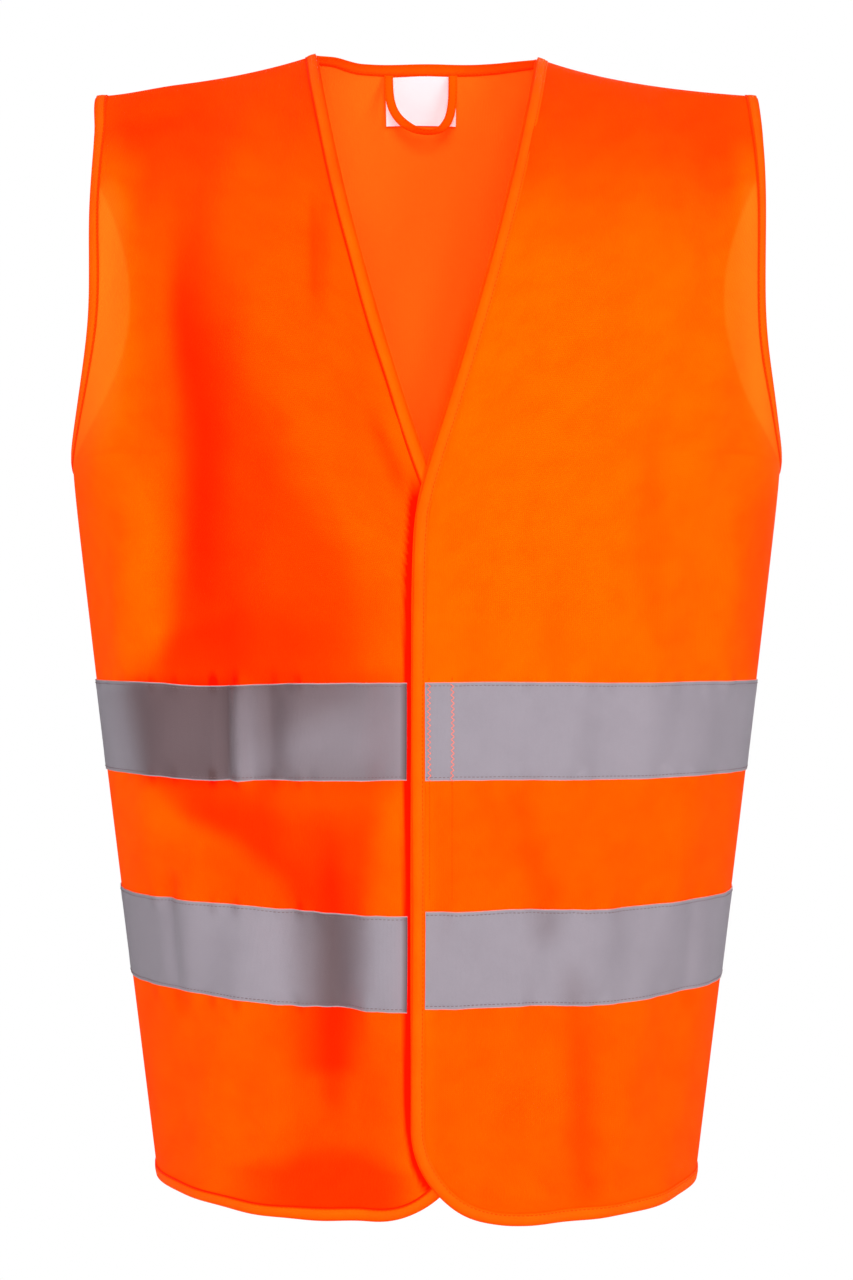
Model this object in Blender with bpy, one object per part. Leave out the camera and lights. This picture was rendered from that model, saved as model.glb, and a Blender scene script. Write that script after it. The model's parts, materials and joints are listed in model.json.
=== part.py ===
# High visibility vest in its worn shape: a back panel, two fronts that lap over each other at the
# centre, reflective bands, folded bindings round every edge, a hook-and-loop closure, a neck label
# and a hanger loop.  Each front is cut along a fold line, so that its free part can swing open.
#
# Units are metres.  +Z is up, the wearer faces -Y and the wearer's left is +X.
# The origin lies midway between the two neck points, where the shoulder seams begin.

import math

import bmesh
import bpy
import numpy as np

# Overall form
body_length = 0.7585            # neck point to hem
chest_half_width = 0.2412       # at the underarm
hem_half_width = 0.1834
front_depth = 0.148             # fullest depth of the front, level with the waist
hem_front_depth = 0.128
yoke_front_depth = 0.116
waist_depth = 0.500             # neck point down to the fullest part of the front
back_depth = 0.138
hem_back_depth = 0.126
blade_depth = 0.200             # neck point down to the fullest part of the back
fullness = 2.4                  # exponent of the body's oval section, 2 is an ellipse
taper_round = 0.020             # height over which the straight chest turns into the tapered sides

# Shoulders, neckline and armholes
neck_half_width = 0.075
shoulder_half_width = 0.2239
shoulder_drop = 0.0252
shoulder_fall = 0.080           # length over which most of the shoulder's drop happens
neck_round = 0.030
shoulder_roll = 0.200           # height over which the shoulder rounds into the chest and back
back_neck_reach = 0.042         # how far the back neckline lies behind the shoulder seams
back_neck_rise = 0.008
back_neck_fall = 0.250          # height over which the centre back reaches its full depth
armhole_depth = 0.279           # neck point down to the underarm
armhole_flare = 3.0             # exponent of the armhole's curve towards the underarm
v_depth = 0.288                 # neck point down to where the two neckline edges cross
v_bow = 0.35                    # how much the neckline edge bows outward

# The centre opening
left_lap = 0.0086               # how far the left front, on top, reaches past the centre
right_lap = 0.0260              # how far the right front, underneath, reaches past the centre
lap_round = 0.004
corner_radius = 0.062           # rounded lower corners of the fronts
fold_top_half_width = 0.050     # the fold line's distance from the centre at its upper end
fold_top_depth = 0.125
fold_hem_half_width = 0.110
flap_top_width = 0.0128         # width left between the neckline edge and the fold line
fold_axis_proud = 0.0260        # how far the straight fold axis stands in front of the cloth's chord
ease_start = 0.030              # the lapped fronts run level with each other up to here
ease_end = 0.120

# Materials' thicknesses and gaps
cloth = 0.0008
tape = 0.0005
strip = 0.0007
binding_wall = 0.0005
binding_width = 0.0080
binding_gap = 0.0008            # room for the panel between the legs of its folded binding
seam_gap = 0.0012               # between two panels that are sewn edge to edge
gap = 0.0003
seam_clear = 0.0004             # between a seam allowance and the panels outside it

# Reflective bands
band_height = 0.060
upper_band_above_hem = 0.3075   # hem to the band's middle
lower_band_above_hem = 0.1670

# Closure, seams, label and hanger loop
closure_width = 0.0160
closure_height = 0.1400
closure_centre_above_hem = 0.2720
seam_allowance = 0.0040
seam_thickness = 0.0006
label_width = 0.0500
label_height = 0.0340
label_thickness = 0.0004
label_offset = -0.0040
loop_width = 0.0430             # between the middles of the loop's two ends
loop_drop = 0.0370
loop_offset = -0.0025
ribbon_width = 0.0065
ribbon_thickness = 0.0010

# Mesh density
row_step = 0.048
edge_cell = 0.05                # first column's share of a panel's width, beside each bound edge
side_columns = 8
flap_columns = 6
back_outer_columns = 7          # shoulder tip to neck point, on each side
back_neck_columns = 8           # neck point to the centre
loop_steps = 20

hem_level = -body_length
armhole_level = -armhole_depth
v_level = -v_depth
waist_level = -waist_depth
left, right = 1, -1
under_lift = -(cloth + 2 * tape + 2 * strip + 4 * gap) / 2
over_lift = cloth + tape + 2 * strip + 4 * gap + under_lift


def smooth(t):
    """Rises from 0 to 1, level at both ends."""
    t = np.clip(t, 0.0, 1.0)
    return t * t * (3.0 - 2.0 * t)


def unit(vectors):
    return vectors / np.linalg.norm(vectors, axis=-1, keepdims=True)


def half_width(z):
    """Straight at the chest, then an even taper from the underarm to the hem."""
    below = armhole_level - np.asarray(z, float)
    taper = (chest_half_width - hem_half_width) / (armhole_level - hem_level)
    return chest_half_width - taper * 0.5 * (below + np.sqrt(below ** 2 + taper_round ** 2))


def front_reach(z):
    """Depth of the front, fullest at the waist and flatter above and below it."""
    above = (front_depth - yoke_front_depth) * (np.maximum(z - waist_level, 0) / waist_depth) ** 2
    span = waist_level - hem_level
    below = (front_depth - hem_front_depth) * (np.maximum(waist_level - z, 0) / span) ** 2
    return front_depth - above - below


def back_reach(z):
    """Depth of the back, fullest at the shoulder blades."""
    share = smooth((-blade_depth - z) / (body_length - blade_depth))
    return back_depth - (back_depth - hem_back_depth) * share


def crest(x):
    """Height of the shoulder line above x, carried on as a gentle rise across the neck."""
    reach = np.sqrt(np.asarray(x, float) ** 2 + neck_round ** 2)
    neck = math.hypot(neck_half_width, neck_round)
    tip = math.hypot(shoulder_half_width, neck_round)
    full = 1.0 - math.exp((neck - tip) / shoulder_fall)
    return -shoulder_drop * (1.0 - np.exp((neck - reach) / shoulder_fall)) / full


def roll(drop):
    """Share of the full depth that the cloth has reached at a drop below the shoulder line."""
    t = np.clip(drop / shoulder_roll, 0.0, 1.0)
    return 0.5 * (1.0 - (1.0 - t) ** 2) + 0.5 * np.sqrt(2.0 * t - t * t)


def section(angle):
    """The oval section's two coordinates, as shares of its half width and depth."""
    across = np.sign(np.sin(angle)) * np.abs(np.sin(angle)) ** (2.0 / fullness)
    along = np.abs(np.cos(angle)) ** (2.0 / fullness)
    return across, along


def angle_at(x, z):
    """Angle round the oval section, from the centre line, of a point at x."""
    share = np.clip(np.abs(x) / half_width(z), 0.0, 1.0)
    return np.sign(x) * np.arcsin(share ** (fullness / 2.0))


def front_point(angle, z, side, lift):
    """A point of a front's inner face; lift moves the lapped part outward or inward."""
    across, along = section(angle)
    x = half_width(z) * across
    eased = 1.0 - smooth((x - ease_start) / (ease_end - ease_start))
    y = -front_reach(z) * along * roll(crest(x) - z) - lift * eased - seam_gap / 2
    return np.stack([side * x, y, z], axis=-1)


def back_point(angle, z):
    """A point of the back's inner face: steep below the neckline, rolled at the shoulders."""
    across, along = section(angle)
    x = half_width(z) * across
    full = back_reach(z)
    fall = np.clip((back_neck_rise - z) / back_neck_fall, 0.0, 1.0)
    centre = back_neck_reach + (full - back_neck_reach) * np.sin(0.5 * np.pi * fall)
    shoulder = full * roll(crest(x) - z)
    share = smooth(np.abs(x) / neck_half_width)
    y = along * ((1.0 - share) * centre + share * shoulder) + seam_gap / 2
    return np.stack([x, y, z], axis=-1)


def neckline_edge(z):
    """Distance from the centre of the V neckline's edge, carried straight on below the V."""
    w = (z - v_level) / v_depth
    return neck_half_width * ((1.0 + v_bow) * w - v_bow * max(w, 0.0) ** 2)


def opening_edge(z, lap):
    """Free edge of a front: the neckline, a soft turn into the lapped edge, a round corner."""
    line = neckline_edge(z)
    x = 0.5 * (line - lap + math.hypot(line + lap, 2.0 * lap_round))
    inside = max(corner_radius - (z - hem_level), 0.0)
    return x + corner_radius - math.sqrt(max(corner_radius ** 2 - inside ** 2, 0.0))


def fold_edge(z):
    """Distance from the centre of the straight fold line."""
    share = (-fold_top_depth - z) / (body_length - fold_top_depth)
    return fold_top_half_width + (fold_hem_half_width - fold_top_half_width) * share


def armhole_edge(z):
    """Distance from the centre of the armhole's edge, or of the side seam below it."""
    if z <= armhole_level:
        return float(half_width(z))
    w = (z - armhole_level) / (armhole_depth - shoulder_drop)
    flare = max(1.0 - w, 0.0) ** armhole_flare
    return shoulder_half_width + (float(half_width(z)) - shoulder_half_width) * flare


def flap_top():
    """Level at which the free part of a front has narrowed to flap_top_width."""
    low, high = v_level, -fold_top_depth
    for _ in range(40):
        middle = 0.5 * (low + high)
        if fold_edge(middle) - neckline_edge(middle) > flap_top_width:
            low = middle
        else:
            high = middle
    return low


flap_level = flap_top()
upper_band = (hem_level + upper_band_above_hem - band_height / 2,
              hem_level + upper_band_above_hem + band_height / 2)
lower_band = (hem_level + lower_band_above_hem - band_height / 2,
              hem_level + lower_band_above_hem + band_height / 2)
closure_span = (hem_level + closure_centre_above_hem - closure_height / 2,
                hem_level + closure_centre_above_hem + closure_height / 2)


def levels_between(keys, low, high):
    """Sorted levels from low to high through every key, with no step above row_step."""
    keys = sorted({low, high, *[k for k in keys if low < k < high]})
    levels = [keys[0]]
    for start, stop in zip(keys, keys[1:]):
        count = max(1, math.ceil((stop - start) / row_step - 1e-6))
        levels += [start + (stop - start) * (i + 1) / count for i in range(count)]
    return levels


corner_levels = [hem_level + corner_radius * (1.0 - math.cos(math.radians(a)))
                 for a in (0, 12, 24, 38, 54, 72, 90)]
underarm_steps = (-binding_width, 0.0, 0.0008, 0.003, 0.010, 0.022, 0.040)
shoulder_shares = (0.5, 0.35, 0.22, 0.13, 0.07, 0.035, 0.015, 0.004)
panel_levels = [*lower_band, *upper_band, *[armhole_level + step for step in underarm_steps],
                *[-shoulder_roll * share for share in shoulder_shares]]


def spread(count, last=2):
    """Columns from 0 to 1: a narrow one beside the first edge, and as many beside the last."""
    inner = np.linspace(edge_cell, 1.0 - last * edge_cell, count - last)
    ends = [1.0 - edge_cell * k for k in range(last - 1, -1, -1)]
    return np.concatenate([[0.0], inner, ends])


def outline_rows(levels, columns, inner, outer, top_x, tilt):
    """Angle and height of every grid point between an inner and an outer edge.

    Rows are level up to the underarm and then lean until the last one follows the shoulder line."""
    u = np.asarray(columns, float)
    angles, heights = [], []
    for level in levels:
        share = max((level - armhole_level) / armhole_depth, 0.0) ** 3 * tilt
        z = level + share * top_x
        start, stop = angle_at(inner(level), z[0]), angle_at(outer(z[-1]), z[-1])
        angles.append(start * (1.0 - u) + stop * u)
        heights.append(z)
    return np.array(angles), np.array(heights)


def sheet_of(surface, angles, heights, *choices, top_facets=True):
    """Points of a surface with outward unit normals, from small steps towards the centre and down.

    Along the shoulder line, where the surface has a fold, the top row's facets give them."""
    small = 1e-4
    grid = surface(angles, heights, *choices)
    turn = np.where(angles > small, -small, small)
    over = (surface(angles + turn, heights, *choices) - grid) / turn[..., None]
    down = surface(angles, heights - small, *choices) - grid
    normals = np.cross(over, down)
    if top_facets:
        top = np.cross(np.gradient(grid[-1], axis=0), grid[-2] - grid[-1])
        turned = np.sign(np.sum(top * normals[-1], axis=-1, keepdims=True))
        normals[-1] = top * turned
    normals = unit(normals)
    outward = np.sign(np.sum(normals * grid * np.array([1.0, 1.0, 0.0])))
    return grid, normals * outward


def side_grid(side, lap, lift):
    """Fixed part of a front: neckline and fold line to armhole and side seam."""
    step_levels = [flap_level + gap, flap_level + 2 * gap]
    levels = levels_between(panel_levels + step_levels, hem_level, 0.0)
    columns = spread(side_columns)
    start = angle_at(neck_half_width, 0.0)
    stop = angle_at(shoulder_half_width, -shoulder_drop)
    top_line = crest(half_width(0.0) * section(start + (stop - start) * columns)[0])

    def inner(z):
        return opening_edge(z, lap) if z > flap_level + 1.5 * gap else fold_edge(z) + gap / 2

    angles, heights = outline_rows(levels, columns, inner, armhole_edge, top_line - top_line[0], 1.0)
    return levels, *sheet_of(front_point, angles, heights, side, lift)


def flap_grid(side, lap, lift):
    """Free part of a front, from its opening edge to the fold line."""
    levels = levels_between(panel_levels + corner_levels, hem_level, flap_level)
    columns = spread(flap_columns, last=0)

    def inner(z):
        return opening_edge(z, lap)

    def outer(z):
        return fold_edge(z) - gap / 2

    flat = np.zeros_like(columns)
    angles, heights = outline_rows(levels, columns, inner, outer, flat, 0.0)
    return levels, *sheet_of(front_point, angles, heights, side, lift, top_facets=False)


def back_grid():
    """The whole back, side seam to side seam, up to the shoulder seams and the neckline."""
    levels = levels_between(panel_levels, hem_level, 0.0)
    neck = angle_at(neck_half_width, 0.0) / angle_at(shoulder_half_width, -shoulder_drop)
    outer_part = neck + (1.0 - neck) * spread(back_outer_columns)[::-1]
    inner_part = np.linspace(neck, 0.0, back_neck_columns + 1)[1:]
    positive = np.concatenate([outer_part, inner_part])
    columns = np.concatenate([-positive, positive[-2::-1]])
    stop = angle_at(shoulder_half_width, -shoulder_drop)
    top_x = half_width(0.0) * section(stop * columns)[0]
    inside = np.abs(top_x) < neck_half_width - 1e-6
    neckline = back_neck_rise * (1.0 - (top_x / neck_half_width) ** 2)
    top_line = np.where(inside, neckline, crest(top_x))
    angles, heights = [], []
    for level in levels:
        share = max((level - armhole_level) / armhole_depth, 0.0) ** 3
        z = level + share * top_line
        heights.append(z)
        angles.append(columns * angle_at(armhole_edge(z[-1]), z[-1]))
    return levels, *sheet_of(back_point, np.array(angles), np.array(heights))


def patch(grid, rows, columns):
    """Points of a grid at fractional rows and columns, on its own flat facets."""
    rows, columns = np.asarray(rows, float), np.asarray(columns, float)
    r = np.clip(rows.astype(int), 0, grid.shape[0] - 2)
    c = np.clip(columns.astype(int), 0, grid.shape[1] - 2)
    fr = (rows - r)[:, None, None]
    fc = (columns - c)[None, :, None]
    low = grid[np.ix_(r, c)] * (1 - fc) + grid[np.ix_(r, c + 1)] * fc
    high = grid[np.ix_(r + 1, c)] * (1 - fc) + grid[np.ix_(r + 1, c + 1)] * fc
    return low * (1 - fr) + high * fr


def slab_mesh(grid, normals, near, far):
    """Closed sheet between two offsets from a grid, measured along its outward normals."""
    rows, columns = grid.shape[:2]
    inner, outer = grid + normals * near, grid + normals * far
    verts = np.concatenate([inner.reshape(-1, 3), outer.reshape(-1, 3)])
    count = rows * columns

    def at(r, c, layer):
        return layer * count + r * columns + c

    faces = []
    for r in range(rows - 1):
        for c in range(columns - 1):
            for layer in (0, 1):
                faces.append((at(r, c, layer), at(r, c + 1, layer), at(r + 1, c + 1, layer)))
                faces.append((at(r, c, layer), at(r + 1, c + 1, layer), at(r + 1, c, layer)))
    rim = [(r, 0) for r in range(rows)] + [(rows - 1, c) for c in range(1, columns)]
    rim += [(r, columns - 1) for r in range(rows - 2, -1, -1)]
    rim += [(0, c) for c in range(columns - 2, 0, -1)]
    for (r0, c0), (r1, c1) in zip(rim, rim[1:] + rim[:1]):
        faces.append((at(r0, c0, 0), at(r1, c1, 0), at(r1, c1, 1), at(r0, c0, 1)))
    return verts, faces


def loft_mesh(rings, caps, closed=False):
    """Closed solid through rings of points; caps splits an end ring into flat faces."""
    rings = np.asarray(rings)
    count, size = rings.shape[:2]
    faces = []
    for k in range(count if closed else count - 1):
        a, b = k * size, ((k + 1) % count) * size
        for i in range(size):
            j = (i + 1) % size
            faces.append((a + i, a + j, b + j, b + i))
    if not closed:
        last = (count - 1) * size
        faces += [tuple(cap) for cap in caps]
        faces += [tuple(last + i for i in cap) for cap in caps]
    return rings.reshape(-1, 3), faces


def rim_frames(points, normals, inside, closed=False):
    """Unit directions that lie in the sheet and point inward, square to its edge."""
    if closed:
        along = np.roll(points, -1, axis=0) - np.roll(points, 1, axis=0)
    else:
        along = np.gradient(points, axis=0)
    inward = unit(np.cross(normals, along))
    return inward if np.sum(inward * (inside - points)) > 0 else -inward


def binding_mesh(points, normals, inside, closed=False):
    """Tape folded round an edge: two legs and the fold between them."""
    inward = rim_frames(points, normals, inside, closed)
    outer = binding_gap + binding_wall
    leg = binding_width - outer
    profile = [(leg, cloth + outer), (-outer, cloth + outer), (-outer, -outer), (leg, -outer),
               (leg, -binding_gap), (-binding_gap, -binding_gap),
               (-binding_gap, cloth + binding_gap), (leg, cloth + binding_gap)]
    rings = np.stack([points + inward * m + normals * n for m, n in profile], axis=1)
    caps = [(0, 1, 6, 7), (1, 2, 5, 6), (2, 3, 4, 5)]
    return loft_mesh(rings, caps, closed)


def under_facet(edge, normals, inside):
    """Seam allowance's reach along a panel's first facet, and the normal square to it."""
    inward = unit(inside - edge)
    normals = normals - inward * np.sum(normals * inward, axis=-1, keepdims=True)
    return inward * seam_allowance, unit(normals)


def seam_mesh(front, back):
    """Seam allowance that lies inside, under the edges of two joined panels."""
    (front_edge, front_normal, front_inside), (back_edge, back_normal, back_inside) = front, back
    front_in, front_normal = under_facet(front_edge, front_normal, front_inside)
    back_in, back_normal = under_facet(back_edge, back_normal, back_inside)
    middle = 0.5 * (front_edge + back_edge)
    normal = unit(front_normal + back_normal)
    near, far = -seam_clear, -seam_clear - seam_thickness
    rings = [front_edge + front_in + front_normal * near, middle + normal * near,
             back_edge + back_in + back_normal * near, back_edge + back_in + back_normal * far,
             middle + normal * far, front_edge + front_in + front_normal * far]
    return loft_mesh(np.stack(rings, axis=1), [(0, 1, 4, 5), (1, 2, 3, 4)])


def fabric(name, colour, roughness, sheen=0.0):
    material = bpy.data.materials.new(name)
    material.use_nodes = True
    shader = material.node_tree.nodes["Principled BSDF"]
    shader.inputs["Base Color"].default_value = (*colour, 1.0)
    shader.inputs["Roughness"].default_value = roughness
    shader.inputs["Metallic"].default_value = 0.0
    shader.inputs["Sheen Weight"].default_value = sheen
    material.diffuse_color = (*colour, 1.0)
    return material


def axis_empty(name, pivot):
    """Empty on a joint's axis, the parent of the pieces that move with it."""
    empty = bpy.data.objects.new(name, None)
    empty.location = pivot
    bpy.context.scene.collection.objects.link(empty)
    return empty


def add_piece(name, mesh_data, material, parent=None):
    """One named closed body, with its faces turned outward and shaded smooth."""
    verts, faces = mesh_data
    origin = np.array(parent.location) if parent else np.zeros(3)
    mesh = bpy.data.meshes.new(name)
    mesh.from_pydata((np.asarray(verts) - origin).tolist(), [], faces)
    body = bmesh.new()
    body.from_mesh(mesh)
    bmesh.ops.recalc_face_normals(body, faces=body.faces)
    body.to_mesh(mesh)
    body.free()
    mesh.materials.append(material)
    mesh.shade_smooth()
    mesh.set_sharp_from_angle(angle=math.radians(40))
    piece = bpy.data.objects.new(name, mesh)
    piece.parent = parent
    bpy.context.scene.collection.objects.link(piece)
    return piece


def run_along(line):
    """Distance of every point of a line from its first one."""
    steps = np.linalg.norm(np.diff(line, axis=0), axis=-1)
    return np.concatenate([[0.0], np.cumsum(steps)])


def with_whole(ends, count):
    """The two fractional ends with every whole position between them."""
    return [ends[0], *[k for k in range(count) if ends[0] + 1e-6 < k < ends[1] - 1e-6], ends[1]]


def row_positions(levels, low, high):
    """Fractional rows of a span of levels, with every whole row between its ends."""
    return with_whole(np.interp([low, high], levels, np.arange(len(levels))), len(levels))


def column_positions(grid, row, low, high):
    """Fractional columns between two distances along a row, measured from its first point."""
    run = run_along(grid[row])
    return with_whole(np.interp([low, high], run, np.arange(len(run))), len(run))


def band_mesh(levels, grid, normals, span, start=0.0):
    """Reflective tape on a panel's outer face; start leaves room for a binding."""
    rows = row_positions(levels, *span)
    row = int(round(rows[0]))
    columns = column_positions(grid, row, start, 10.0)
    near = cloth + gap
    return slab_mesh(patch(grid, rows, columns), patch(normals, rows, columns), near, near + tape)


def build_front(side, lap, lift, word, materials):
    """One front: fixed side part, free flap, their bands, the edge binding and a closure strip."""
    side_levels, side_part, side_normals = side_grid(side, lap, lift)
    flap_levels, flap, flap_normals = flap_grid(side, lap, lift)
    top, bottom = fold_axis(side)
    hinge = axis_empty(word + "_front_axis", 0.5 * (top + bottom))

    add_piece(word + "_front_side", slab_mesh(side_part, side_normals, 0.0, cloth), materials["cloth"])
    add_piece(word + "_front_flap", slab_mesh(flap, flap_normals, 0.0, cloth), materials["cloth"], hinge)
    edge_room = binding_width + gap
    for height, span in (("upper", upper_band), ("lower", lower_band)):
        name = height + "_band_" + word
        side_band = band_mesh(side_levels, side_part, side_normals, span)
        add_piece(name + "_side", side_band, materials["tape"])
        flap_band = band_mesh(flap_levels, flap, flap_normals, span, edge_room)
        add_piece(name + "_flap", flap_band, materials["tape"], hinge)

    last = len(flap_levels) - 1
    rows = [*range(last, -1, -1), *[0] * flap_columns]
    columns = [*[0] * (last + 1), *range(1, flap_columns + 1)]
    inside = flap[flap.shape[0] // 3, flap_columns // 2]
    edge = binding_mesh(flap[rows, columns], flap_normals[rows, columns], inside)
    add_piece(word + "_front_binding", edge, materials["binding"], hinge)

    rows = row_positions(flap_levels, *closure_span)
    start = lap + gap if side == left else lap - closure_width - gap
    columns = column_positions(flap, int(rows[1]), start, start + closure_width)
    points, strip_normals = patch(flap, rows, columns), patch(flap_normals, rows, columns)
    if side == left:
        closure = slab_mesh(points, strip_normals, -gap - strip, -gap)
        add_piece("hook_strip", closure, materials["closure"], hinge)
    else:
        base = cloth + tape + 2 * gap
        closure = slab_mesh(points, strip_normals, base, base + strip)
        add_piece("loop_strip", closure, materials["closure"], hinge)
    return side_levels, side_part, side_normals


def fold_axis(side):
    """Upper and lower end of the straight axis that a front's flap swings about."""
    ends = []
    for level in (flap_level, hem_level):
        x = fold_edge(level)
        y = float(front_point(angle_at(x, level), np.array(level), side, 0.0)[1]) - fold_axis_proud
        ends.append(np.array([side * x, y, level]))
    return ends


def build_bindings_and_seams(back, fronts, materials):
    """What joins the panels: seams inside, bindings round the neck, armholes and hem."""
    levels, back_part, back_normals = back
    top = len(levels) - 1
    underarm = levels.index(armhole_level)
    centre = back_part.shape[1] // 2
    hem_points, hem_normals, hem_inside = [], [], []
    neck_points, neck_normals, neck_inside = [], [], []
    for side in (right, left):
        front_levels, front, front_normals = fronts[side]
        word = "left" if side == left else "right"
        front_top = len(front_levels) - 1
        front_underarm = front_levels.index(armhole_level)
        outer = front.shape[1] - 1
        back_edge = back_part.shape[1] - 1 if side == left else 0
        back_next = back_edge - side

        # Armhole: up the front edge, over the shoulder tip and down the back edge
        ahead = np.arange(front_underarm, front_top + 1)
        behind = np.arange(top, underarm - 1, -1)
        points = np.concatenate([front[ahead, outer], back_part[behind, back_edge]])
        normals = np.concatenate([front_normals[ahead, outer], back_normals[behind, back_edge]])
        inside = np.concatenate([front[ahead, outer - 1], back_part[behind, back_next]])
        points, normals, inside = merge_pair(points, normals, inside, len(ahead) - 1)
        points, normals, inside = merge_pair(points, normals, inside, -1)
        loop = binding_mesh(points, normals, inside, closed=True)
        add_piece(word + "_armhole_binding", loop, materials["binding"])

        # Side seam, from the hem binding up to the armhole binding
        rows, front_rows = seam_rows(levels), seam_rows(front_levels)
        behind_edge = [patch(a, rows, [c])[:, 0] for a, c in
                       ((back_part, back_edge), (back_normals, back_edge), (back_part, back_next))]
        ahead_edge = [patch(a, front_rows, [c])[:, 0] for a, c in
                      ((front, outer), (front_normals, outer), (front, outer - 1))]
        add_piece(word + "_side_seam", seam_mesh(ahead_edge, behind_edge), materials["seam"])

        # Shoulder seam, from the neck binding out to the armhole binding
        back_cols = [c for c in range(centre, back_edge + side, side)
                     if abs(back_part[top, c, 0]) > neck_half_width - 1e-4]
        shares = np.linspace(0.0, 1.0, side_columns + 1)
        front_cols = trimmed_columns(front[front_top], np.arange(outer + 1), shares)
        back_share = trimmed_columns(back_part[top, back_cols], back_cols, shares)
        ahead_edge = [patch(a, [r], front_cols)[0] for a, r in
                      ((front, front_top), (front_normals, front_top), (front, front_top - 1))]
        behind_edge = [patch(a, [r], back_share)[0] for a, r in
                       ((back_part, top), (back_normals, top), (back_part, top - 1))]
        add_piece(word + "_shoulder_seam", seam_mesh(ahead_edge, behind_edge), materials["seam"])

        # This side's share of the neck and hem bindings
        start = [k for k, level in enumerate(front_levels) if level > flap_level + 1.5 * gap][0]
        rows = np.arange(start, front_top + 1)
        neck_points.append(front[rows, 0])
        neck_normals.append(front_normals[rows, 0])
        neck_inside.append(front[rows, 1])
        hem_points.append(front[0, :])
        hem_normals.append(front_normals[0, :])
        hem_inside.append(front[1, :])

    neck_columns = np.flatnonzero(np.abs(back_part[top, :, 0]) < neck_half_width + 1e-4)
    points = np.concatenate([neck_points[0], back_part[top, neck_columns], neck_points[1][::-1]])
    normals = np.concatenate([neck_normals[0], back_normals[top, neck_columns], neck_normals[1][::-1]])
    inside = np.concatenate([neck_inside[0], back_part[top - 1, neck_columns], neck_inside[1][::-1]])
    last_join = len(neck_points[0]) + len(neck_columns) - 1
    points, normals, inside = merge_pair(points, normals, inside, last_join)
    points, normals, inside = merge_pair(points, normals, inside, len(neck_points[0]) - 1)
    add_piece("neck_binding", binding_mesh(points, normals, inside), materials["binding"])

    points = np.concatenate([hem_points[0], back_part[0], hem_points[1][::-1]])
    normals = np.concatenate([hem_normals[0], back_normals[0], hem_normals[1][::-1]])
    inside = np.concatenate([hem_inside[0], back_part[1], hem_inside[1][::-1]])
    last_join = len(hem_points[0]) + back_part.shape[1] - 1
    points, normals, inside = merge_pair(points, normals, inside, last_join)
    points, normals, inside = merge_pair(points, normals, inside, len(hem_points[0]) - 1)
    add_piece("hem_binding", binding_mesh(points, normals, inside), materials["binding"])


def merge_pair(points, normals, inside, index):
    """Replaces two edge points that face each other across a seam by the one between them."""
    follow = (index + 1) % len(points) if index >= 0 else 0
    merged = []
    for values in (points, normals, inside):
        values = values.copy()
        values[index] = 0.5 * (values[index] + values[follow])
        merged.append(np.delete(values, follow, axis=0))
    merged[1] = unit(merged[1])
    return merged


def seam_rows(levels):
    """Fractional rows of the side seam, clear of the hem binding and the armhole binding."""
    margin = binding_width + 2 * gap
    return row_positions(levels, hem_level + margin, armhole_level - margin)


def trimmed_columns(line, columns, shares):
    """Fractional columns along the shoulder line, short of the bindings at its two ends."""
    run = run_along(line)
    margin = binding_width + 2 * gap
    return np.interp(margin + (run[-1] - 2.0 * margin) * shares, run, columns)


def back_edge_frame(x):
    """Point of the back neckline at x, with its outward normal and its downward direction."""
    rise = back_neck_rise * (1.0 - (x / neck_half_width) ** 2)
    steps = np.array([rise, rise - binding_width])
    edge = back_point(np.array([angle_at(x, z) for z in steps]), steps)
    down = edge[1] - edge[0]
    down /= np.linalg.norm(down)
    normal = np.array([0.0, -down[2], down[1]])
    return edge[0], normal, down


def build_label(back, materials):
    """Bare label sewn under the neck binding, lying along the inside of the back."""
    levels, part, normals = back
    top = part.shape[0] - 1
    centre = part.shape[1] // 2
    start = binding_width + gap
    drops = [start + label_height, start]
    rows = with_whole(np.interp(drops, run_along(part[::-1, centre]), top - np.arange(top + 1)), top + 1)
    x_line = part[top, :, 0]
    edges = [label_offset - label_width / 2, label_offset + label_width / 2]
    columns = with_whole(np.interp(edges, x_line, np.arange(len(x_line))), len(x_line))
    near = -binding_gap - label_thickness
    sheet = slab_mesh(patch(part, rows, columns), patch(normals, rows, columns), near, -binding_gap)
    add_piece("neck_label", sheet, materials["label"])


def loop_pivot():
    """Point on the hanger loop's hinge axis, against the lower end of the neck binding's inner leg."""
    outermost = abs(loop_offset) + (loop_width + ribbon_width) / 2
    edge, normal, down = back_edge_frame(outermost)
    leg = binding_width - binding_gap - binding_wall
    face = binding_gap + binding_wall + gap + ribbon_thickness / 2
    pivot = edge + down * (leg - ribbon_thickness) - normal * face
    pivot[0] = 0.0
    return pivot


def build_loop(materials):
    """Hanger loop: a flat ribbon that hangs from two ends in an upright U."""
    pivot = loop_pivot()
    hinge = axis_empty("hanger_loop_axis", pivot)
    turn = np.linspace(0.0, np.pi, loop_steps + 1)
    across = -np.cos(turn) * loop_width / 2
    drop = -np.sin(turn) ** 0.8 * loop_drop
    middle = np.stack([loop_offset + across, np.zeros_like(turn), drop], axis=-1)
    along = np.gradient(middle, axis=0)
    along[0], along[-1] = (0.0, 0.0, -1.0), (0.0, 0.0, 1.0)
    side = unit(np.cross(along, (0.0, 1.0, 0.0)))
    middle = middle + pivot
    thick = np.array([0.0, ribbon_thickness / 2, 0.0])
    rings = [middle + side * ribbon_width / 2 + thick, middle - side * ribbon_width / 2 + thick,
             middle - side * ribbon_width / 2 - thick, middle + side * ribbon_width / 2 - thick]
    ribbon = loft_mesh(np.stack(rings, axis=1), [(0, 1, 2, 3)])
    add_piece("hanger_loop", ribbon, materials["binding"], hinge)


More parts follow.
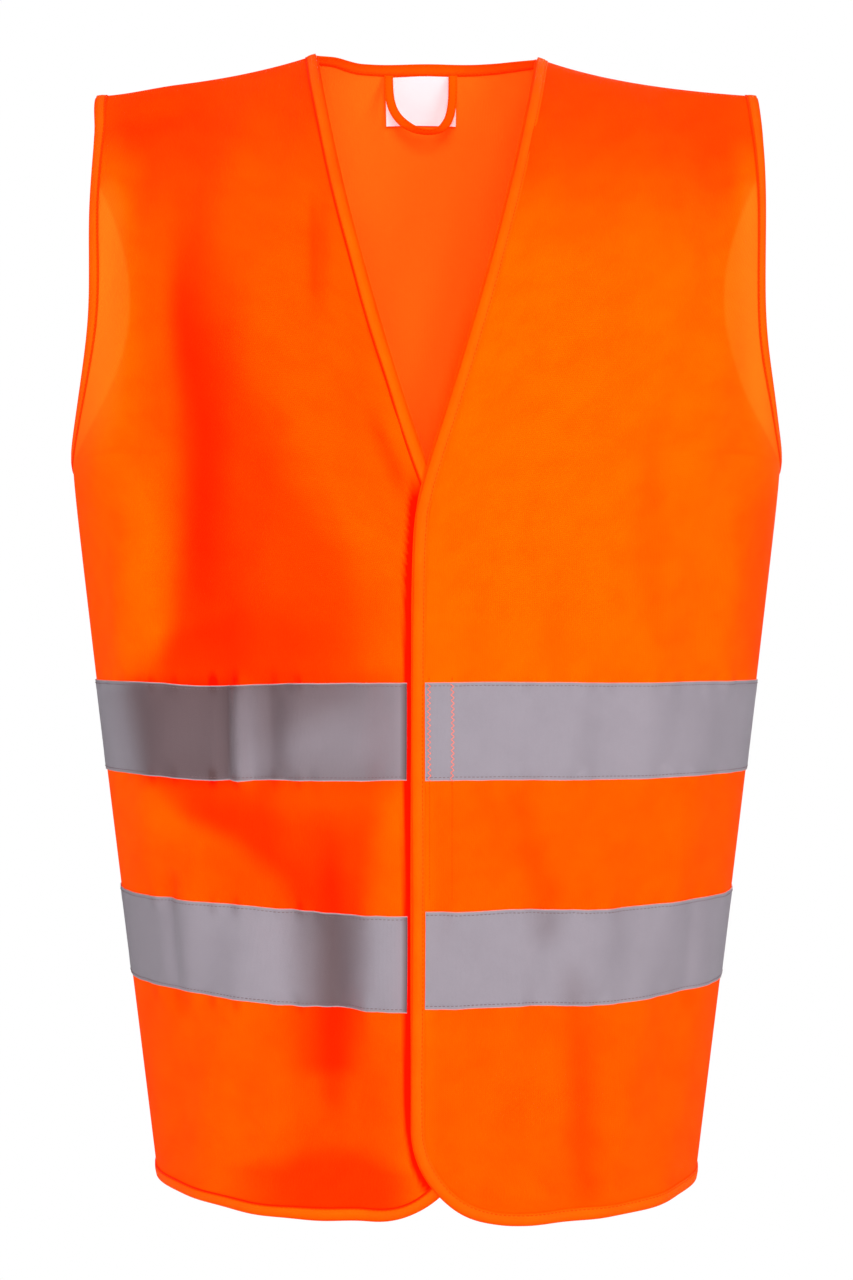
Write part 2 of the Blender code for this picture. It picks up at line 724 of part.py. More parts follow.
def build_vest():
    for item in list(bpy.data.objects):
        bpy.data.objects.remove(item, do_unlink=True)
    materials = {
        "cloth": fabric("fluorescent_orange_cloth", (1.0, 0.13, 0.004), 0.85, 0.2),
        "binding": fabric("orange_binding_tape", (1.0, 0.18, 0.01), 0.7, 0.1),
        "seam": fabric("orange_seam_allowance", (0.9, 0.10, 0.004), 0.9),
        "tape": fabric("silver_reflective_tape", (0.42, 0.38, 0.43), 0.45),
        "closure": fabric("orange_hook_and_loop", (0.85, 0.12, 0.01), 0.95, 0.4),
        "label": fabric("white_label", (0.93, 0.90, 0.92), 0.6),
    }
    back = back_grid()
    levels, part, _ = back
    add_piece("back_panel", slab_mesh(part, back[2], 0.0, cloth), materials["cloth"])
    for height, span in (("upper", upper_band), ("lower", lower_band)):
        sheet = band_mesh(levels, part, back[2], span)
        add_piece(height + "_band_back", sheet, materials["tape"])
    fronts = {
        left: build_front(left, left_lap, over_lift, "left", materials),
        right: build_front(right, right_lap, under_lift, "right", materials),
    }
    build_bindings_and_seams(back, fronts, materials)
    build_label(back, materials)
    build_loop(materials)


build_vest()
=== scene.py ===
import json
import math

import bmesh
import bpy
import numpy as np
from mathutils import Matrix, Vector


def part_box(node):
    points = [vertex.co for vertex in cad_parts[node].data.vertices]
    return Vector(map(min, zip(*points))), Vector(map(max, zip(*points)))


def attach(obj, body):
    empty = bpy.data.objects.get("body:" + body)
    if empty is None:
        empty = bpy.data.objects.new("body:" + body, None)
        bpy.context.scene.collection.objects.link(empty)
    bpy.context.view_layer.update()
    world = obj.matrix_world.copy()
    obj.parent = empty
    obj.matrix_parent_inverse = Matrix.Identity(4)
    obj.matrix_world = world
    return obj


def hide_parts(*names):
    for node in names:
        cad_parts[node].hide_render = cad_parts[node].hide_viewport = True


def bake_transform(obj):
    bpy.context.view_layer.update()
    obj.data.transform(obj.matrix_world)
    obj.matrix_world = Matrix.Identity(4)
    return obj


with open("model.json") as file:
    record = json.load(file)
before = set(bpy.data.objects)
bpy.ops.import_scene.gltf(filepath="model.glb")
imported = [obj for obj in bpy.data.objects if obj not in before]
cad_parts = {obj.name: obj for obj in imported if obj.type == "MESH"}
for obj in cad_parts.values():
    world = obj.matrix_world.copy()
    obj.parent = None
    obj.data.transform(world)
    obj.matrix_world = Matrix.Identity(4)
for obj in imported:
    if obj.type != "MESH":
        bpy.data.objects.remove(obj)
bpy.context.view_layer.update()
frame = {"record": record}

loopJoint = next(j for j in frame["record"]["behaviour"]["joints"] if j["name"] == "hanger_loop_swing")

# The cloth's form, in metres: +Z up, the wearer faces -Y and their left is +X
form = {
    "hem": -0.7585, "underarm": -0.279, "waist": -0.5, "blades": -0.2,
    "chestHalf": 0.2389, "hemHalf": 0.1812, "taperRound": 0.02, "fullness": 2.4,
    "yokeBroader": 0.013, "yokeSpan": 0.13, "yokeRise": 0.5,
    "frontDepth": 0.148, "hemFrontDepth": 0.128, "yokeDepth": 0.116,
    "backDepth": 0.138, "hemBackDepth": 0.126, "seamGap": 0.0012,
    "neckHalf": 0.075, "neckRound": 0.03, "neckReach": 0.042, "neckRise": 0.008, "neckFall": 0.25,
    "shoulderHalf": 0.2239, "shoulderDrop": 0.0252, "shoulderFall": 0.08, "roll": 0.2,
    "armFlare": 5.5, "armDip": 0.0050, "armSway": 0.0020,
    "vBottom": -0.288, "vBow": 0.35, "lapRound": 0.004, "corner": 0.062,
    "easeStart": 0.03, "easeEnd": 0.12, "cloth": 0.0006,
}
laps = {1: {"lap": 0.0086, "lift": 0.0017}, -1: {"lap": 0.026, "lift": -0.0022}}  # left front on top
wordOf = {1: "left", -1: "right"}
tapes = {name: (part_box(name + "_band_back")[0].z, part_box(name + "_band_back")[1].z)
         for name in ("upper", "lower")}
shell = "vest_shell"


def smooth(t):  # 0 to 1, level at both ends
    t = np.clip(t, 0.0, 1.0)
    return t * t * (3.0 - 2.0 * t)


def ramp(value, edge):  # a smooth step that starts at the edge's place and takes its span, down if negative
    return smooth((value - edge[0]) / edge[1])


def unit(v):  # directions of length one
    return v / np.linalg.norm(v, axis=-1, keepdims=True)


def halfWidth(z):  # straight at the chest, then an even taper, joined by a hyperbola
    below = form["underarm"] - z
    taper = (form["chestHalf"] - form["hemHalf"]) / (form["underarm"] - form["hem"])
    broader = form["yokeBroader"] * smooth(-below / form["yokeSpan"])  # the yoke lies flatter than the chest
    rounded = 0.5 * (below + np.sqrt(below ** 2 + form["taperRound"] ** 2))
    return form["chestHalf"] + broader - taper * rounded


def frontReach(z):  # deepest at the waist, less by the square of the distance above and below it
    above = (np.maximum(z - form["waist"], 0) / form["yokeRise"]) ** 2
    above = above * (form["frontDepth"] - form["yokeDepth"])
    span = form["waist"] - form["hem"]
    below = (form["frontDepth"] - form["hemFrontDepth"]) * (np.maximum(form["waist"] - z, 0) / span) ** 2
    return form["frontDepth"] - above - below


def backReach(z):  # deepest at the shoulder blades, a smooth step less at the hem
    share = smooth((form["blades"] - z) / (form["blades"] - form["hem"]))
    return form["backDepth"] - (form["backDepth"] - form["hemBackDepth"]) * share


def crestHeight(x):  # shoulder line: an exponential fall from the neck point to the tip
    reach = np.hypot(x, form["neckRound"])
    neck = math.hypot(form["neckHalf"], form["neckRound"])
    tip = math.hypot(form["shoulderHalf"], form["neckRound"])
    full = 1.0 - math.exp((neck - tip) / form["shoulderFall"])
    return -form["shoulderDrop"] * (1.0 - np.exp((neck - reach) / form["shoulderFall"])) / full


def rolled(drop):  # half a parabola and half a quarter circle, from the shoulder line down
    t = np.clip(drop / form["roll"], 0.0, 1.0)
    return 0.5 * (1.0 - (1.0 - t) ** 2) + 0.5 * np.sqrt(2.0 * t - t * t)


def section(angle):  # superellipse: both coordinates as shares of the half axes
    across = np.sign(np.sin(angle)) * np.abs(np.sin(angle)) ** (2.0 / form["fullness"])
    return across, np.abs(np.cos(angle)) ** (2.0 / form["fullness"])


def angleAt(x, z):  # the superellipse's angle at a place across the cloth
    share = np.clip(np.abs(x) / halfWidth(z), 0.0, 1.0)
    return np.sign(x) * np.arcsin(share ** (form["fullness"] / 2.0))


# Folds: a line of (x, z) points, the width of the bell that it fades with, and its height
frontFolds = [
    ([(-0.166, -0.05), (-0.163, -0.18), (-0.143, -0.28), (-0.130, -0.43), (-0.110, -0.535),
              (-0.074, -0.59), (-0.052, -0.67), (-0.060, -0.74)], 0.030, -0.009),
    ([(-0.095, -0.30), (-0.085, -0.44), (-0.065, -0.50)], 0.030, 0.004),
    ([(-0.1267, -0.42), (-0.1267, -0.478)], 0.0065, -0.0038),
    ([(-0.1186, -0.42), (-0.1180, -0.482)], 0.0050, 0.0042),
    ([(-0.0956, -0.425), (-0.0950, -0.475)], 0.0080, -0.0030),
    ([(-0.0270, -0.42), (-0.0250, -0.49)], 0.0080, -0.0014),
    ([(-0.1630, -0.55), (-0.1570, -0.63)], 0.0060, -0.0036),
    ([(-0.0600, -0.55), (-0.0540, -0.64)], 0.0130, -0.0026),
    ([(0.1690, -0.555), (0.1670, -0.625)], 0.0055, -0.0020),
    ([(-0.0700, -0.125), (-0.0700, -0.185)], 0.0065, -0.0026),
    ([(-0.0600, -0.115), (-0.0590, -0.170)], 0.0070, 0.0020),
    ([(-0.0335, -0.256), (-0.0124, -0.312)], 0.0075, -0.0028),
    ([(-0.0240, -0.262), (-0.0050, -0.315)], 0.0075, 0.0020),
    ([(0.0660, -0.070), (0.0650, -0.100)], 0.0100, -0.0024),
    ([(0.0790, -0.040), (0.0790, -0.100)], 0.0120, 0.0022),
    ([(0.0317, -0.488), (0.0453, -0.507)], 0.0060, -0.0022),
    ([(0.0453, -0.490), (0.0640, -0.523)], 0.0070, 0.0020),
    ([(0.0472, -0.519), (0.0640, -0.536)], 0.0065, -0.0022),
    ([(-0.0788, -0.265), (-0.0105, -0.382)], 0.0120, 0.0018),
    ([(0.0020, -0.395), (0.0330, -0.345)], 0.0110, 0.0014),
    ([(0.1040, -0.620), (0.1060, -0.740)], 0.0120, -0.0020),
    ([(-0.1900, -0.045), (-0.1850, -0.085)], 0.0200, -0.0050),
    ([(0.1900, -0.045), (0.1850, -0.085)], 0.0180, -0.0035),
    ([(-0.1950, -0.30), (-0.1780, -0.42)], 0.0170, 0.0040),
]
backFolds = [
    ([(-0.060, -0.10), (-0.085, -0.30), (-0.060, -0.45)], 0.030, -0.0050),
    ([(0.070, -0.08), (0.095, -0.28), (0.080, -0.42)], 0.028, -0.0045),
    ([(0.010, -0.20), (0.005, -0.42)], 0.034, 0.0030),
    ([(-0.120, -0.46), (-0.090, -0.70)], 0.024, -0.0055),
    ([(0.100, -0.50), (0.115, -0.74)], 0.022, -0.0045),
    ([(0.030, -0.52), (0.020, -0.74)], 0.026, 0.0035),
    ([(-0.020, -0.60), (-0.030, -0.75)], 0.016, -0.0030),
    ([(-0.165, -0.20), (-0.150, -0.40)], 0.018, -0.0040),
    ([(0.170, -0.22), (0.150, -0.38)], 0.018, -0.0040),
    ([(-0.035, -0.035), (-0.060, -0.11)], 0.012, -0.0022),
    ([(0.040, -0.035), (0.060, -0.12)], 0.012, -0.0020),
]
# puckers: height, reach, waves, least and swell shape the cloth's puckers; the last three values shape the
# painted shadows between them
puckers = {"height": 0.0007, "reach": 0.007, "waves": (0.0136, 0.0193, 0.0289), "least": 0.45, "swell": 23.0,
           "shadowPaintReach": 0.005, "shadowPaintLeast": 0.35, "shadowPaintSwell": 17.0}
drift = {"height": 0.0011, "waves": ((0.110, 0.31, 0.4), (0.067, 0.19, 2.1), (0.043, -0.23, 4.4)),
         "sideFade": 0.035, "topFade": 0.03}


def foldDepth(folds, x, z):  # sum of bells of the distance to each fold's line
    total = np.zeros(np.broadcast(x, z).shape)
    for line, width, height in folds:
        nearest = np.full(total.shape, 9.0)
        for (x0, z0), (x1, z1) in zip(line, line[1:]):
            dx, dz = x1 - x0, z1 - z0
            t = np.clip(((x - x0) * dx + (z - z0) * dz) / (dx * dx + dz * dz), 0.0, 1.0)
            nearest = np.minimum(nearest, np.hypot(x - x0 - t * dx, z - z0 - t * dz))
        total += height * np.exp(-(nearest / width) ** 2)
    return total


def surfaceDepth(folds, x, z, drop, seed):
    # folds, slow drift, and puckers where a tape's edge is stitched down; all fade out at the seams
    depth = foldDepth(folds, x, z)
    for wave, slant, phase in drift["waves"]:
        depth += drift["height"] * np.sin((x + slant * z) * 2 * np.pi / wave + phase + seed)
    ripple = sum(np.sin(x * 2 * np.pi / wave + k * 1.7 + seed) for k, wave in enumerate(puckers["waves"]))
    swell = np.sin(x * puckers["swell"] + seed * 2.0) ** 2
    ripple = ripple * (puckers["least"] + (1.0 - puckers["least"]) * swell)
    for low, high in tapes.values():
        for level in (low, high):
            depth += puckers["height"] * ripple * np.exp(-((z - level) / puckers["reach"]) ** 2)
    return depth * smooth((halfWidth(z) - np.abs(x)) / drift["sideFade"]) * smooth(drop / drift["topFade"])


def outwardFlat(across, along, half, reach):  # the section's normal, seen from above
    power = form["fullness"] - 1.0
    nx = np.sign(across) * np.abs(across) ** power / half
    ny = along ** power / reach
    size = np.hypot(nx, ny)
    return nx / size, ny / size


settling = {
    "sides": ((0.0012, (0.03, -0.09)), (0.0062, (-0.075, -0.10)), (0.0050, (0.105, 0.08))),  # rise, edge
    "lower": (-0.42, -0.30), "shoulder": 0.0029,
    "neckSide": (-0.045, -0.02), "armSide": (-0.218, 0.05), "upper": (-0.12, 0.10),
}


def settled(x, z):  # smooth steps: the hung cloth rises towards its sides, and over the right shoulder
    sides = sum(rise * ramp(x, edge) for rise, edge in settling["sides"]) * ramp(z, settling["lower"])
    across = ramp(x, settling["neckSide"]) * ramp(x, settling["armSide"])
    return z + sides + settling["shoulder"] * across * ramp(z, settling["upper"])


def frontSurface(angle, z, side):
    # the superellipse at each height, rolled in to the shoulder line, with the lap's lift and the folds added
    across, along = section(angle)
    half, reach = halfWidth(z), frontReach(z)
    x = half * across
    drop = crestHeight(x) - z
    eased = 1.0 - smooth((x - form["easeStart"]) / (form["easeEnd"] - form["easeStart"]))
    y = reach * along * rolled(drop) + laps[side]["lift"] * eased + form["seamGap"] / 2
    depth = surfaceDepth(frontFolds, side * x, z, drop, 0.0)
    nx, ny = outwardFlat(across, along, half, reach)
    return np.stack([side * (x + nx * depth), -y - ny * depth, settled(side * x, z)], axis=-1)


def backSurface(angle, z, side=1):
    # the same for the back, but its middle rises by a quarter sine to the back neckline
    across, along = section(angle)
    half, full = halfWidth(z), backReach(z)
    x = half * across
    drop = crestHeight(x) - z
    fall = np.clip((form["neckRise"] - z) / form["neckFall"], 0.0, 1.0)
    centre = form["neckReach"] + (full - form["neckReach"]) * np.sin(0.5 * np.pi * fall)
    share = smooth(np.abs(x) / form["neckHalf"])
    y = along * ((1.0 - share) * centre + share * full * rolled(drop)) + form["seamGap"] / 2
    depth = surfaceDepth(backFolds, x, z, form["neckRise"] - z, 1.3)
    nx, ny = outwardFlat(across, along, half, full)
    return np.stack([x + nx * depth, y + ny * depth, settled(x, z)], axis=-1)


def normalsOf(surface, angle, z, side, grid):  # from small steps towards the centre and down
    step = 1e-4
    turn = np.where(angle > step, -step, step)
    over = (surface(angle + turn, z, side) - grid) / turn[..., None]
    down = surface(angle, z - step, side) - grid
    normals = unit(np.cross(over, down))
    return normals * np.sign(np.sum(normals * grid * np.array([1.0, 1.0, 0.0])))


# Edges
def necklineEdge(z):  # a line bowed by a square, straight below the V
    w = (z - form["vBottom"]) / -form["vBottom"]
    return form["neckHalf"] * ((1.0 + form["vBow"]) * w - form["vBow"] * np.maximum(w, 0.0) ** 2)


def openingEdge(z, lap):  # the larger of neckline and lap, rounded off, then the corner's arc
    line = necklineEdge(z)
    x = 0.5 * (line - lap + np.hypot(line + lap, 2.0 * form["lapRound"]))
    inside = np.maximum(form["corner"] - (z - form["hem"]), 0.0)
    return x + form["corner"] - np.sqrt(np.maximum(form["corner"] ** 2 - inside ** 2, 0.0))


def armholeEdge(z):  # dips in by a half sine and sways by a whole one, flaring towards the underarm
    w = np.clip((z - form["underarm"]) / (-form["shoulderDrop"] - form["underarm"]), 0.0, 1.0)
    flare = (1.0 - w) ** form["armFlare"]
    edge = form["shoulderHalf"] + (form["chestHalf"] - form["shoulderHalf"]) * flare
    edge = edge - form["armDip"] * np.sin(np.pi * w) - form["armSway"] * np.sin(2 * np.pi * w)
    return np.where(z <= form["underarm"], halfWidth(z), edge)


def panelLevels():  # heights of the rows: even, closer by a square at the shoulders, with the underarm's own
    low = np.linspace(form["hem"], form["hem"] + form["corner"], 26)
    middle = np.linspace(form["hem"] + form["corner"], -form["roll"], 150)
    top = -form["roll"] * np.linspace(1.0, 0.0, 66) ** 2
    around = form["underarm"] + np.array([0.0, 0.0004, 0.001, 0.002, 0.0035])
    return np.unique(np.concatenate([low, middle, top, around]).round(6))


def frontGrid(side, count):
    # rows from the front edge to the side or the armhole, bent by a cube to end on the shoulder line
    level, u = panelLevels()[:, None], np.linspace(0.0, 1.0, count)[None, :]
    u = u ** 1.3  # closer together at the front edge
    start = angleAt(form["neckHalf"], 0.0)
    stop = angleAt(form["shoulderHalf"], -form["shoulderDrop"])
    topLine = crestHeight(halfWidth(0.0) * section(start + (stop - start) * u)[0])
    share = np.maximum((level - form["underarm"]) / -form["underarm"], 0.0) ** 3
    z = level + share * (topLine - topLine[:, :1])
    first = angleAt(openingEdge(level, laps[side]["lap"]), z[:, :1])
    last = angleAt(armholeEdge(z[:, -1:]), z[:, -1:])
    return first * (1.0 - u) + last * u, z


def backGrid(count):  # rows from side to side, bent by a cube to end on the shoulders and the neckline
    level, u = panelLevels()[:, None], np.linspace(-1.0, 1.0, count)[None, :]
    stop = angleAt(form["shoulderHalf"], -form["shoulderDrop"])
    topX = halfWidth(0.0) * section(stop * u)[0]
    rise = form["neckRise"] * (1.0 - (topX / form["neckHalf"]) ** 2)
    topLine = np.where(np.abs(topX) < form["neckHalf"], rise, crestHeight(topX))
    z = level + np.maximum((level - form["underarm"]) / -form["underarm"], 0.0) ** 3 * topLine
    return u * angleAt(armholeEdge(z[:, -1:]), z[:, -1:]), z


# Meshes as whole arrays
def quadsOf(rows, columns, closedRows=False, closedColumns=False):  # a grid's cells, wrapped if closed
    r = np.arange(rows if closedRows else rows - 1)[:, None]
    c = np.arange(columns if closedColumns else columns - 1)[None, :]
    r2, c2 = (r + 1) % rows, (c + 1) % columns
    cells = [r * columns + c, r * columns + c2, r2 * columns + c2, r2 * columns + c]
    return np.stack(np.broadcast_arrays(*cells), axis=-1).reshape(-1, 4)


def runLength(grid, axis):  # distance covered along one direction of a grid
    steps = np.linalg.norm(np.diff(grid, axis=axis), axis=-1)
    zero = np.zeros_like(np.take(steps, [0], axis=axis))
    return np.cumsum(np.concatenate([zero, steps], axis=axis), axis=axis)


def shellPart(grid, normals, near, far, paintedShading=None, innerPaintedShading=None):
    # a sheet as a closed shell: the grid at two offsets along its normals, joined round the rim, with painted
    # light and shade for each face
    rows, columns = grid.shape[:2]
    count = rows * columns
    near, far = np.asarray(near), np.asarray(far)
    inner, outer = grid + normals * near[..., None], grid + normals * far[..., None]
    face = quadsOf(rows, columns)
    rim = np.concatenate([np.arange(columns), np.arange(1, rows) * columns + columns - 1,
                          (rows - 1) * columns + np.arange(columns - 2, -1, -1),
                          np.arange(rows - 2, 0, -1) * columns])
    following = np.roll(rim, -1)
    sides = np.stack([rim, following, following + count, rim + count], axis=-1)
    uv = np.stack([runLength(grid, 1), runLength(grid, 0)], axis=-1).reshape(-1, 2)
    paintedShading = np.zeros(count) if paintedShading is None else paintedShading.reshape(-1)
    innerPaintedShading = paintedShading if innerPaintedShading is None else innerPaintedShading.reshape(-1)
    return {"verts": np.concatenate([inner.reshape(-1, 3), outer.reshape(-1, 3)]),
            "quads": np.concatenate([face[:, ::-1], face + count, sides]), "slot": 0,
            "uv": np.concatenate([uv, uv]), "paintedShading": np.concatenate([innerPaintedShading, paintedShading])}


def tubePart(points, normals, inward, profile, closed=False):
    # a profile of (inward, outward) pairs carried along a path, with its ends filled
    rings = points[:, None] + inward[:, None] * profile[None, :, :1] + normals[:, None] * profile[None, :, 1:]
    rows, columns = rings.shape[:2]
    faces = quadsOf(rows, columns, closedRows=closed, closedColumns=True)
    if not closed:
        half = columns // 2
        k = np.arange(half - 1)
        cap = np.stack([k, k + 1, columns - 2 - k, columns - 1 - k], axis=-1)
        faces = np.concatenate([faces, cap[:, ::-1], cap + (rows - 1) * columns])
    along = np.repeat(runLength(points[:, None], 0), columns, axis=1)
    around = np.repeat(runLength(rings[:1], 1), rows, axis=0)
    uv = np.stack([around, along], axis=-1).reshape(-1, 2)
    return {"verts": rings.reshape(-1, 3), "quads": faces, "slot": 0, "uv": uv,
            "paintedShading": np.zeros(rows * columns)}


def stitchPart(points, normals, thread, slot=1):
    # beads of thread at even steps along a path: four-sided spindles, pressed in at both ends
    run = runLength(points[:, None], 0)[:, 0]
    at = np.arange(thread["pitch"] / 2, run[-1], thread["pitch"])
    middle = np.stack([np.interp(at, run, points[:, k]) for k in range(3)], axis=-1)
    out = unit(np.stack([np.interp(at, run, normals[:, k]) for k in range(3)], axis=-1))
    along = unit(np.stack([np.interp(at, run, np.gradient(points[:, k])) for k in range(3)], axis=-1))
    over = unit(np.cross(out, along))
    turned = np.where(np.arange(len(at)) % 2, -1.0, 1.0) if "zigzag" in thread else np.ones(len(at))
    along = unit(along + over * turned[:, None] * thread.get("slant", 0.0))
    over = np.cross(out, along)
    t = np.array([-1.0, -0.6, 0.6, 1.0]) * thread["length"] / 2
    size = np.array([0.45, 1.0, 1.0, 0.45]) * thread["radius"]
    sink = np.array([-0.9, 0.0, 0.0, -0.9]) * thread["radius"]
    turn = np.arange(4) * np.pi / 2 + np.pi / 4
    bead = (along[:, None, None] * t[None, :, None, None]
            + over[:, None, None] * (np.cos(turn) * size[:, None])[None, :, :, None]
            + out[:, None, None] * (np.sin(turn) * size[:, None] + sink[:, None]
                                    + thread["lift"])[None, :, :, None])
    verts = (middle[:, None, None] + bead).reshape(-1, 3)
    one = np.concatenate([quadsOf(4, 4, closedColumns=True), [[3, 2, 1, 0], [12, 13, 14, 15]]])
    quads = (one[None] + 16 * np.arange(len(at))[:, None, None]).reshape(-1, 4)
    return {"verts": verts, "quads": quads, "slot": slot, "uv": np.zeros((len(verts), 2)),
            "paintedShading": np.zeros(len(verts))}


def makePiece(name, parts, materials, nodes=()):
    # joins parts into one mesh with its UV map, its attribute of painted light and shade, and its materials
    offsets = np.cumsum([0] + [len(p["verts"]) for p in parts])
    verts = np.concatenate([p["verts"] for p in parts])
    quads = np.concatenate([p["quads"] + o for p, o in zip(parts, offsets)])
    mesh = bpy.data.meshes.new(name)
    mesh.from_pydata(verts.tolist(), [], quads.tolist())
    slots = np.concatenate([np.full(len(p["quads"]), p["slot"]) for p in parts]).astype(np.int32)
    mesh.polygons.foreach_set("material_index", slots)
    loops = np.zeros(len(mesh.loops), np.int32)
    mesh.loops.foreach_get("vertex_index", loops)
    uv = np.concatenate([p["uv"] for p in parts])
    mesh.uv_layers.new(name="weave").data.foreach_set("uv", uv[loops].astype(np.float32).ravel())
    # painted light and shade: below zero for painted shade, above zero for painted light
    paintedShading = np.concatenate([p["paintedShading"] for p in parts]).astype(np.float32)
    mesh.attributes.new("paintedShading", "FLOAT", "POINT").data.foreach_set("value", paintedShading)
    body = bmesh.new()
    body.from_mesh(mesh)
    bmesh.ops.recalc_face_normals(body, faces=body.faces)
    body.to_mesh(mesh)
    body.free()
    for material in materials:
        mesh.materials.append(material)
    mesh.shade_smooth()
    mesh.set_sharp_from_angle(angle=math.radians(55))
    piece = bpy.data.objects.new(name, mesh)
    bpy.context.scene.collection.objects.link(piece)
    if nodes:
        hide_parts(*nodes)
    print("made", name, len(quads) * 2, "triangles")
    return piece


def bendWithFront(piece):  # bakes the piece's place into its mesh
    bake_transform(piece)


# Materials
def newNode(tree, kind, **inputs):
    node = tree.nodes.new(kind)
    for name, value in inputs.items():
        node.inputs[name.replace("_", " ")].default_value = value
    return node


def mathNode(tree, operation, first, second=None):
    node = tree.nodes.new("ShaderNodeMath")
    node.operation = operation
    for k, value in enumerate((first, second)):
        if isinstance(value, (int, float)):
            node.inputs[k].default_value = value
        elif value is not None:
            tree.links.new(value, node.inputs[k])
    return node.outputs[0]


def weaveGroup():
    # threads over and under: product of two sines along the cloth's two directions, roughened by noise
    tree = bpy.data.node_groups.new("threadWeave", "ShaderNodeTree")
    for name, kind in (("Place", "NodeSocketVector"), ("Across", "NodeSocketFloat"),
                       ("Along", "NodeSocketFloat"), ("Fuzz", "NodeSocketFloat")):
        tree.interface.new_socket(name=name, in_out="INPUT", socket_type=kind)
    for name in ("Height", "Mottle"):
        tree.interface.new_socket(name=name, in_out="OUTPUT", socket_type="NodeSocketFloat")
    given, made = tree.nodes.new("NodeGroupInput"), tree.nodes.new("NodeGroupOutput")
    split = tree.nodes.new("ShaderNodeSeparateXYZ")
    tree.links.new(given.outputs["Place"], split.inputs[0])
    waves = []
    for axis, count in (("X", "Across"), ("Y", "Along")):
        turned = mathNode(tree, "MULTIPLY", split.outputs[axis], given.outputs[count])
        waves.append(mathNode(tree, "SINE", mathNode(tree, "MULTIPLY", turned, 2 * math.pi)))
    cross = mathNode(tree, "MULTIPLY", waves[0], waves[1])
    rib = mathNode(tree, "MULTIPLY", waves[0], 0.5)
    fine = newNode(tree, "ShaderNodeTexNoise", Scale=900.0, Detail=2.0)
    tree.links.new(given.outputs["Place"], fine.inputs["Vector"])
    fuzz = mathNode(tree, "MULTIPLY", fine.outputs["Fac"], given.outputs["Fuzz"])
    tree.links.new(mathNode(tree, "ADD", mathNode(tree, "ADD", cross, rib), fuzz), made.inputs["Height"])
    broad = newNode(tree, "ShaderNodeTexNoise", Scale=38.0, Detail=5.0, Roughness=0.62)
    tree.links.new(given.outputs["Place"], broad.inputs["Vector"])
    tree.links.new(broad.outputs["Fac"], made.inputs["Mottle"])
    return tree


def blendColours(tree, factor, first, second):  # from the first colour to the second, by the factor
    node = tree.nodes.new("ShaderNodeMix")
    node.data_type = "RGBA"
    for socket, colour in ((node.inputs[6], first), (node.inputs[7], second)):
        if isinstance(colour, tuple):
            socket.default_value = (*colour, 1.0)
        else:
            tree.links.new(colour, socket)
    tree.links.new(factor, node.inputs[0])
    return node.outputs[2]


def textile(name, look, weave):
    # colour mottled between two tones, mixed towards a painted-shade colour where the painted-shading
    # attribute is below zero, and towards a pale painted-light colour above it
    material = bpy.data.materials.new(name)
    material.use_nodes = True
    tree = material.node_tree
    shader = tree.nodes["Principled BSDF"]
    place = tree.nodes.new("ShaderNodeUVMap")
    place.uv_map = "weave"
    threads = newNode(tree, "ShaderNodeGroup")
    threads.node_tree = weave
    tree.links.new(place.outputs[0], threads.inputs["Place"])
    for socket, value in zip(("Across", "Along", "Fuzz"), look["weave"]):
        threads.inputs[socket].default_value = value
    spread = newNode(tree, "ShaderNodeMapRange", From_Min=0.30, From_Max=0.75)
    grain = mathNode(tree, "MULTIPLY", threads.outputs["Height"], look.get("grain", 0.10))
    tree.links.new(mathNode(tree, "ADD", threads.outputs["Mottle"], grain), spread.inputs[0])
    colour = blendColours(tree, spread.outputs[0], look["colour"], look["second"])
    # painted shade below zero and painted light above it, read from the attribute
    if "paintedShade" in look:
        paintedShading = tree.nodes.new("ShaderNodeAttribute")
        paintedShading.attribute_name = "paintedShading"
        below = newNode(tree, "ShaderNodeMapRange", From_Min=0.0, From_Max=-1.0)
        above = newNode(tree, "ShaderNodeMapRange", From_Min=0.0, From_Max=1.0)
        tree.links.new(paintedShading.outputs["Fac"], below.inputs[0])
        tree.links.new(paintedShading.outputs["Fac"], above.inputs[0])
        colour = blendColours(tree, below.outputs[0], colour, look["paintedShade"])
        colour = blendColours(tree, above.outputs[0], colour, look["pale"])
    tree.links.new(colour, shader.inputs["Base Color"])
    bump = newNode(tree, "ShaderNodeBump", Strength=look["bump"], Distance=0.0004)
    tree.links.new(threads.outputs["Height"], bump.inputs["Height"])
    tree.links.new(bump.outputs[0], shader.inputs["Normal"])
    shader.inputs["Roughness"].default_value = look["rough"]
    shader.inputs["Specular IOR Level"].default_value = look.get("specular", 0.25)
    shader.inputs["Sheen Weight"].default_value = look.get("sheen", 0.0)
    shader.inputs["Sheen Roughness"].default_value = 0.45
    if "sheenTint" in look:
        shader.inputs["Sheen Tint"].default_value = (*look["sheenTint"], 1.0)
    if "tint" in look:
        shader.inputs["Specular Tint"].default_value = (*look["tint"], 1.0)
    # painted glow: a constant emission, painted light that stands in for the fluorescent dye's brightness
    if "paintedGlow" in look:
        shader.inputs["Emission Color"].default_value = (*look["paintedGlow"], 1.0)
        shader.inputs["Emission Strength"].default_value = look["paintedGlowStrength"]
    return material
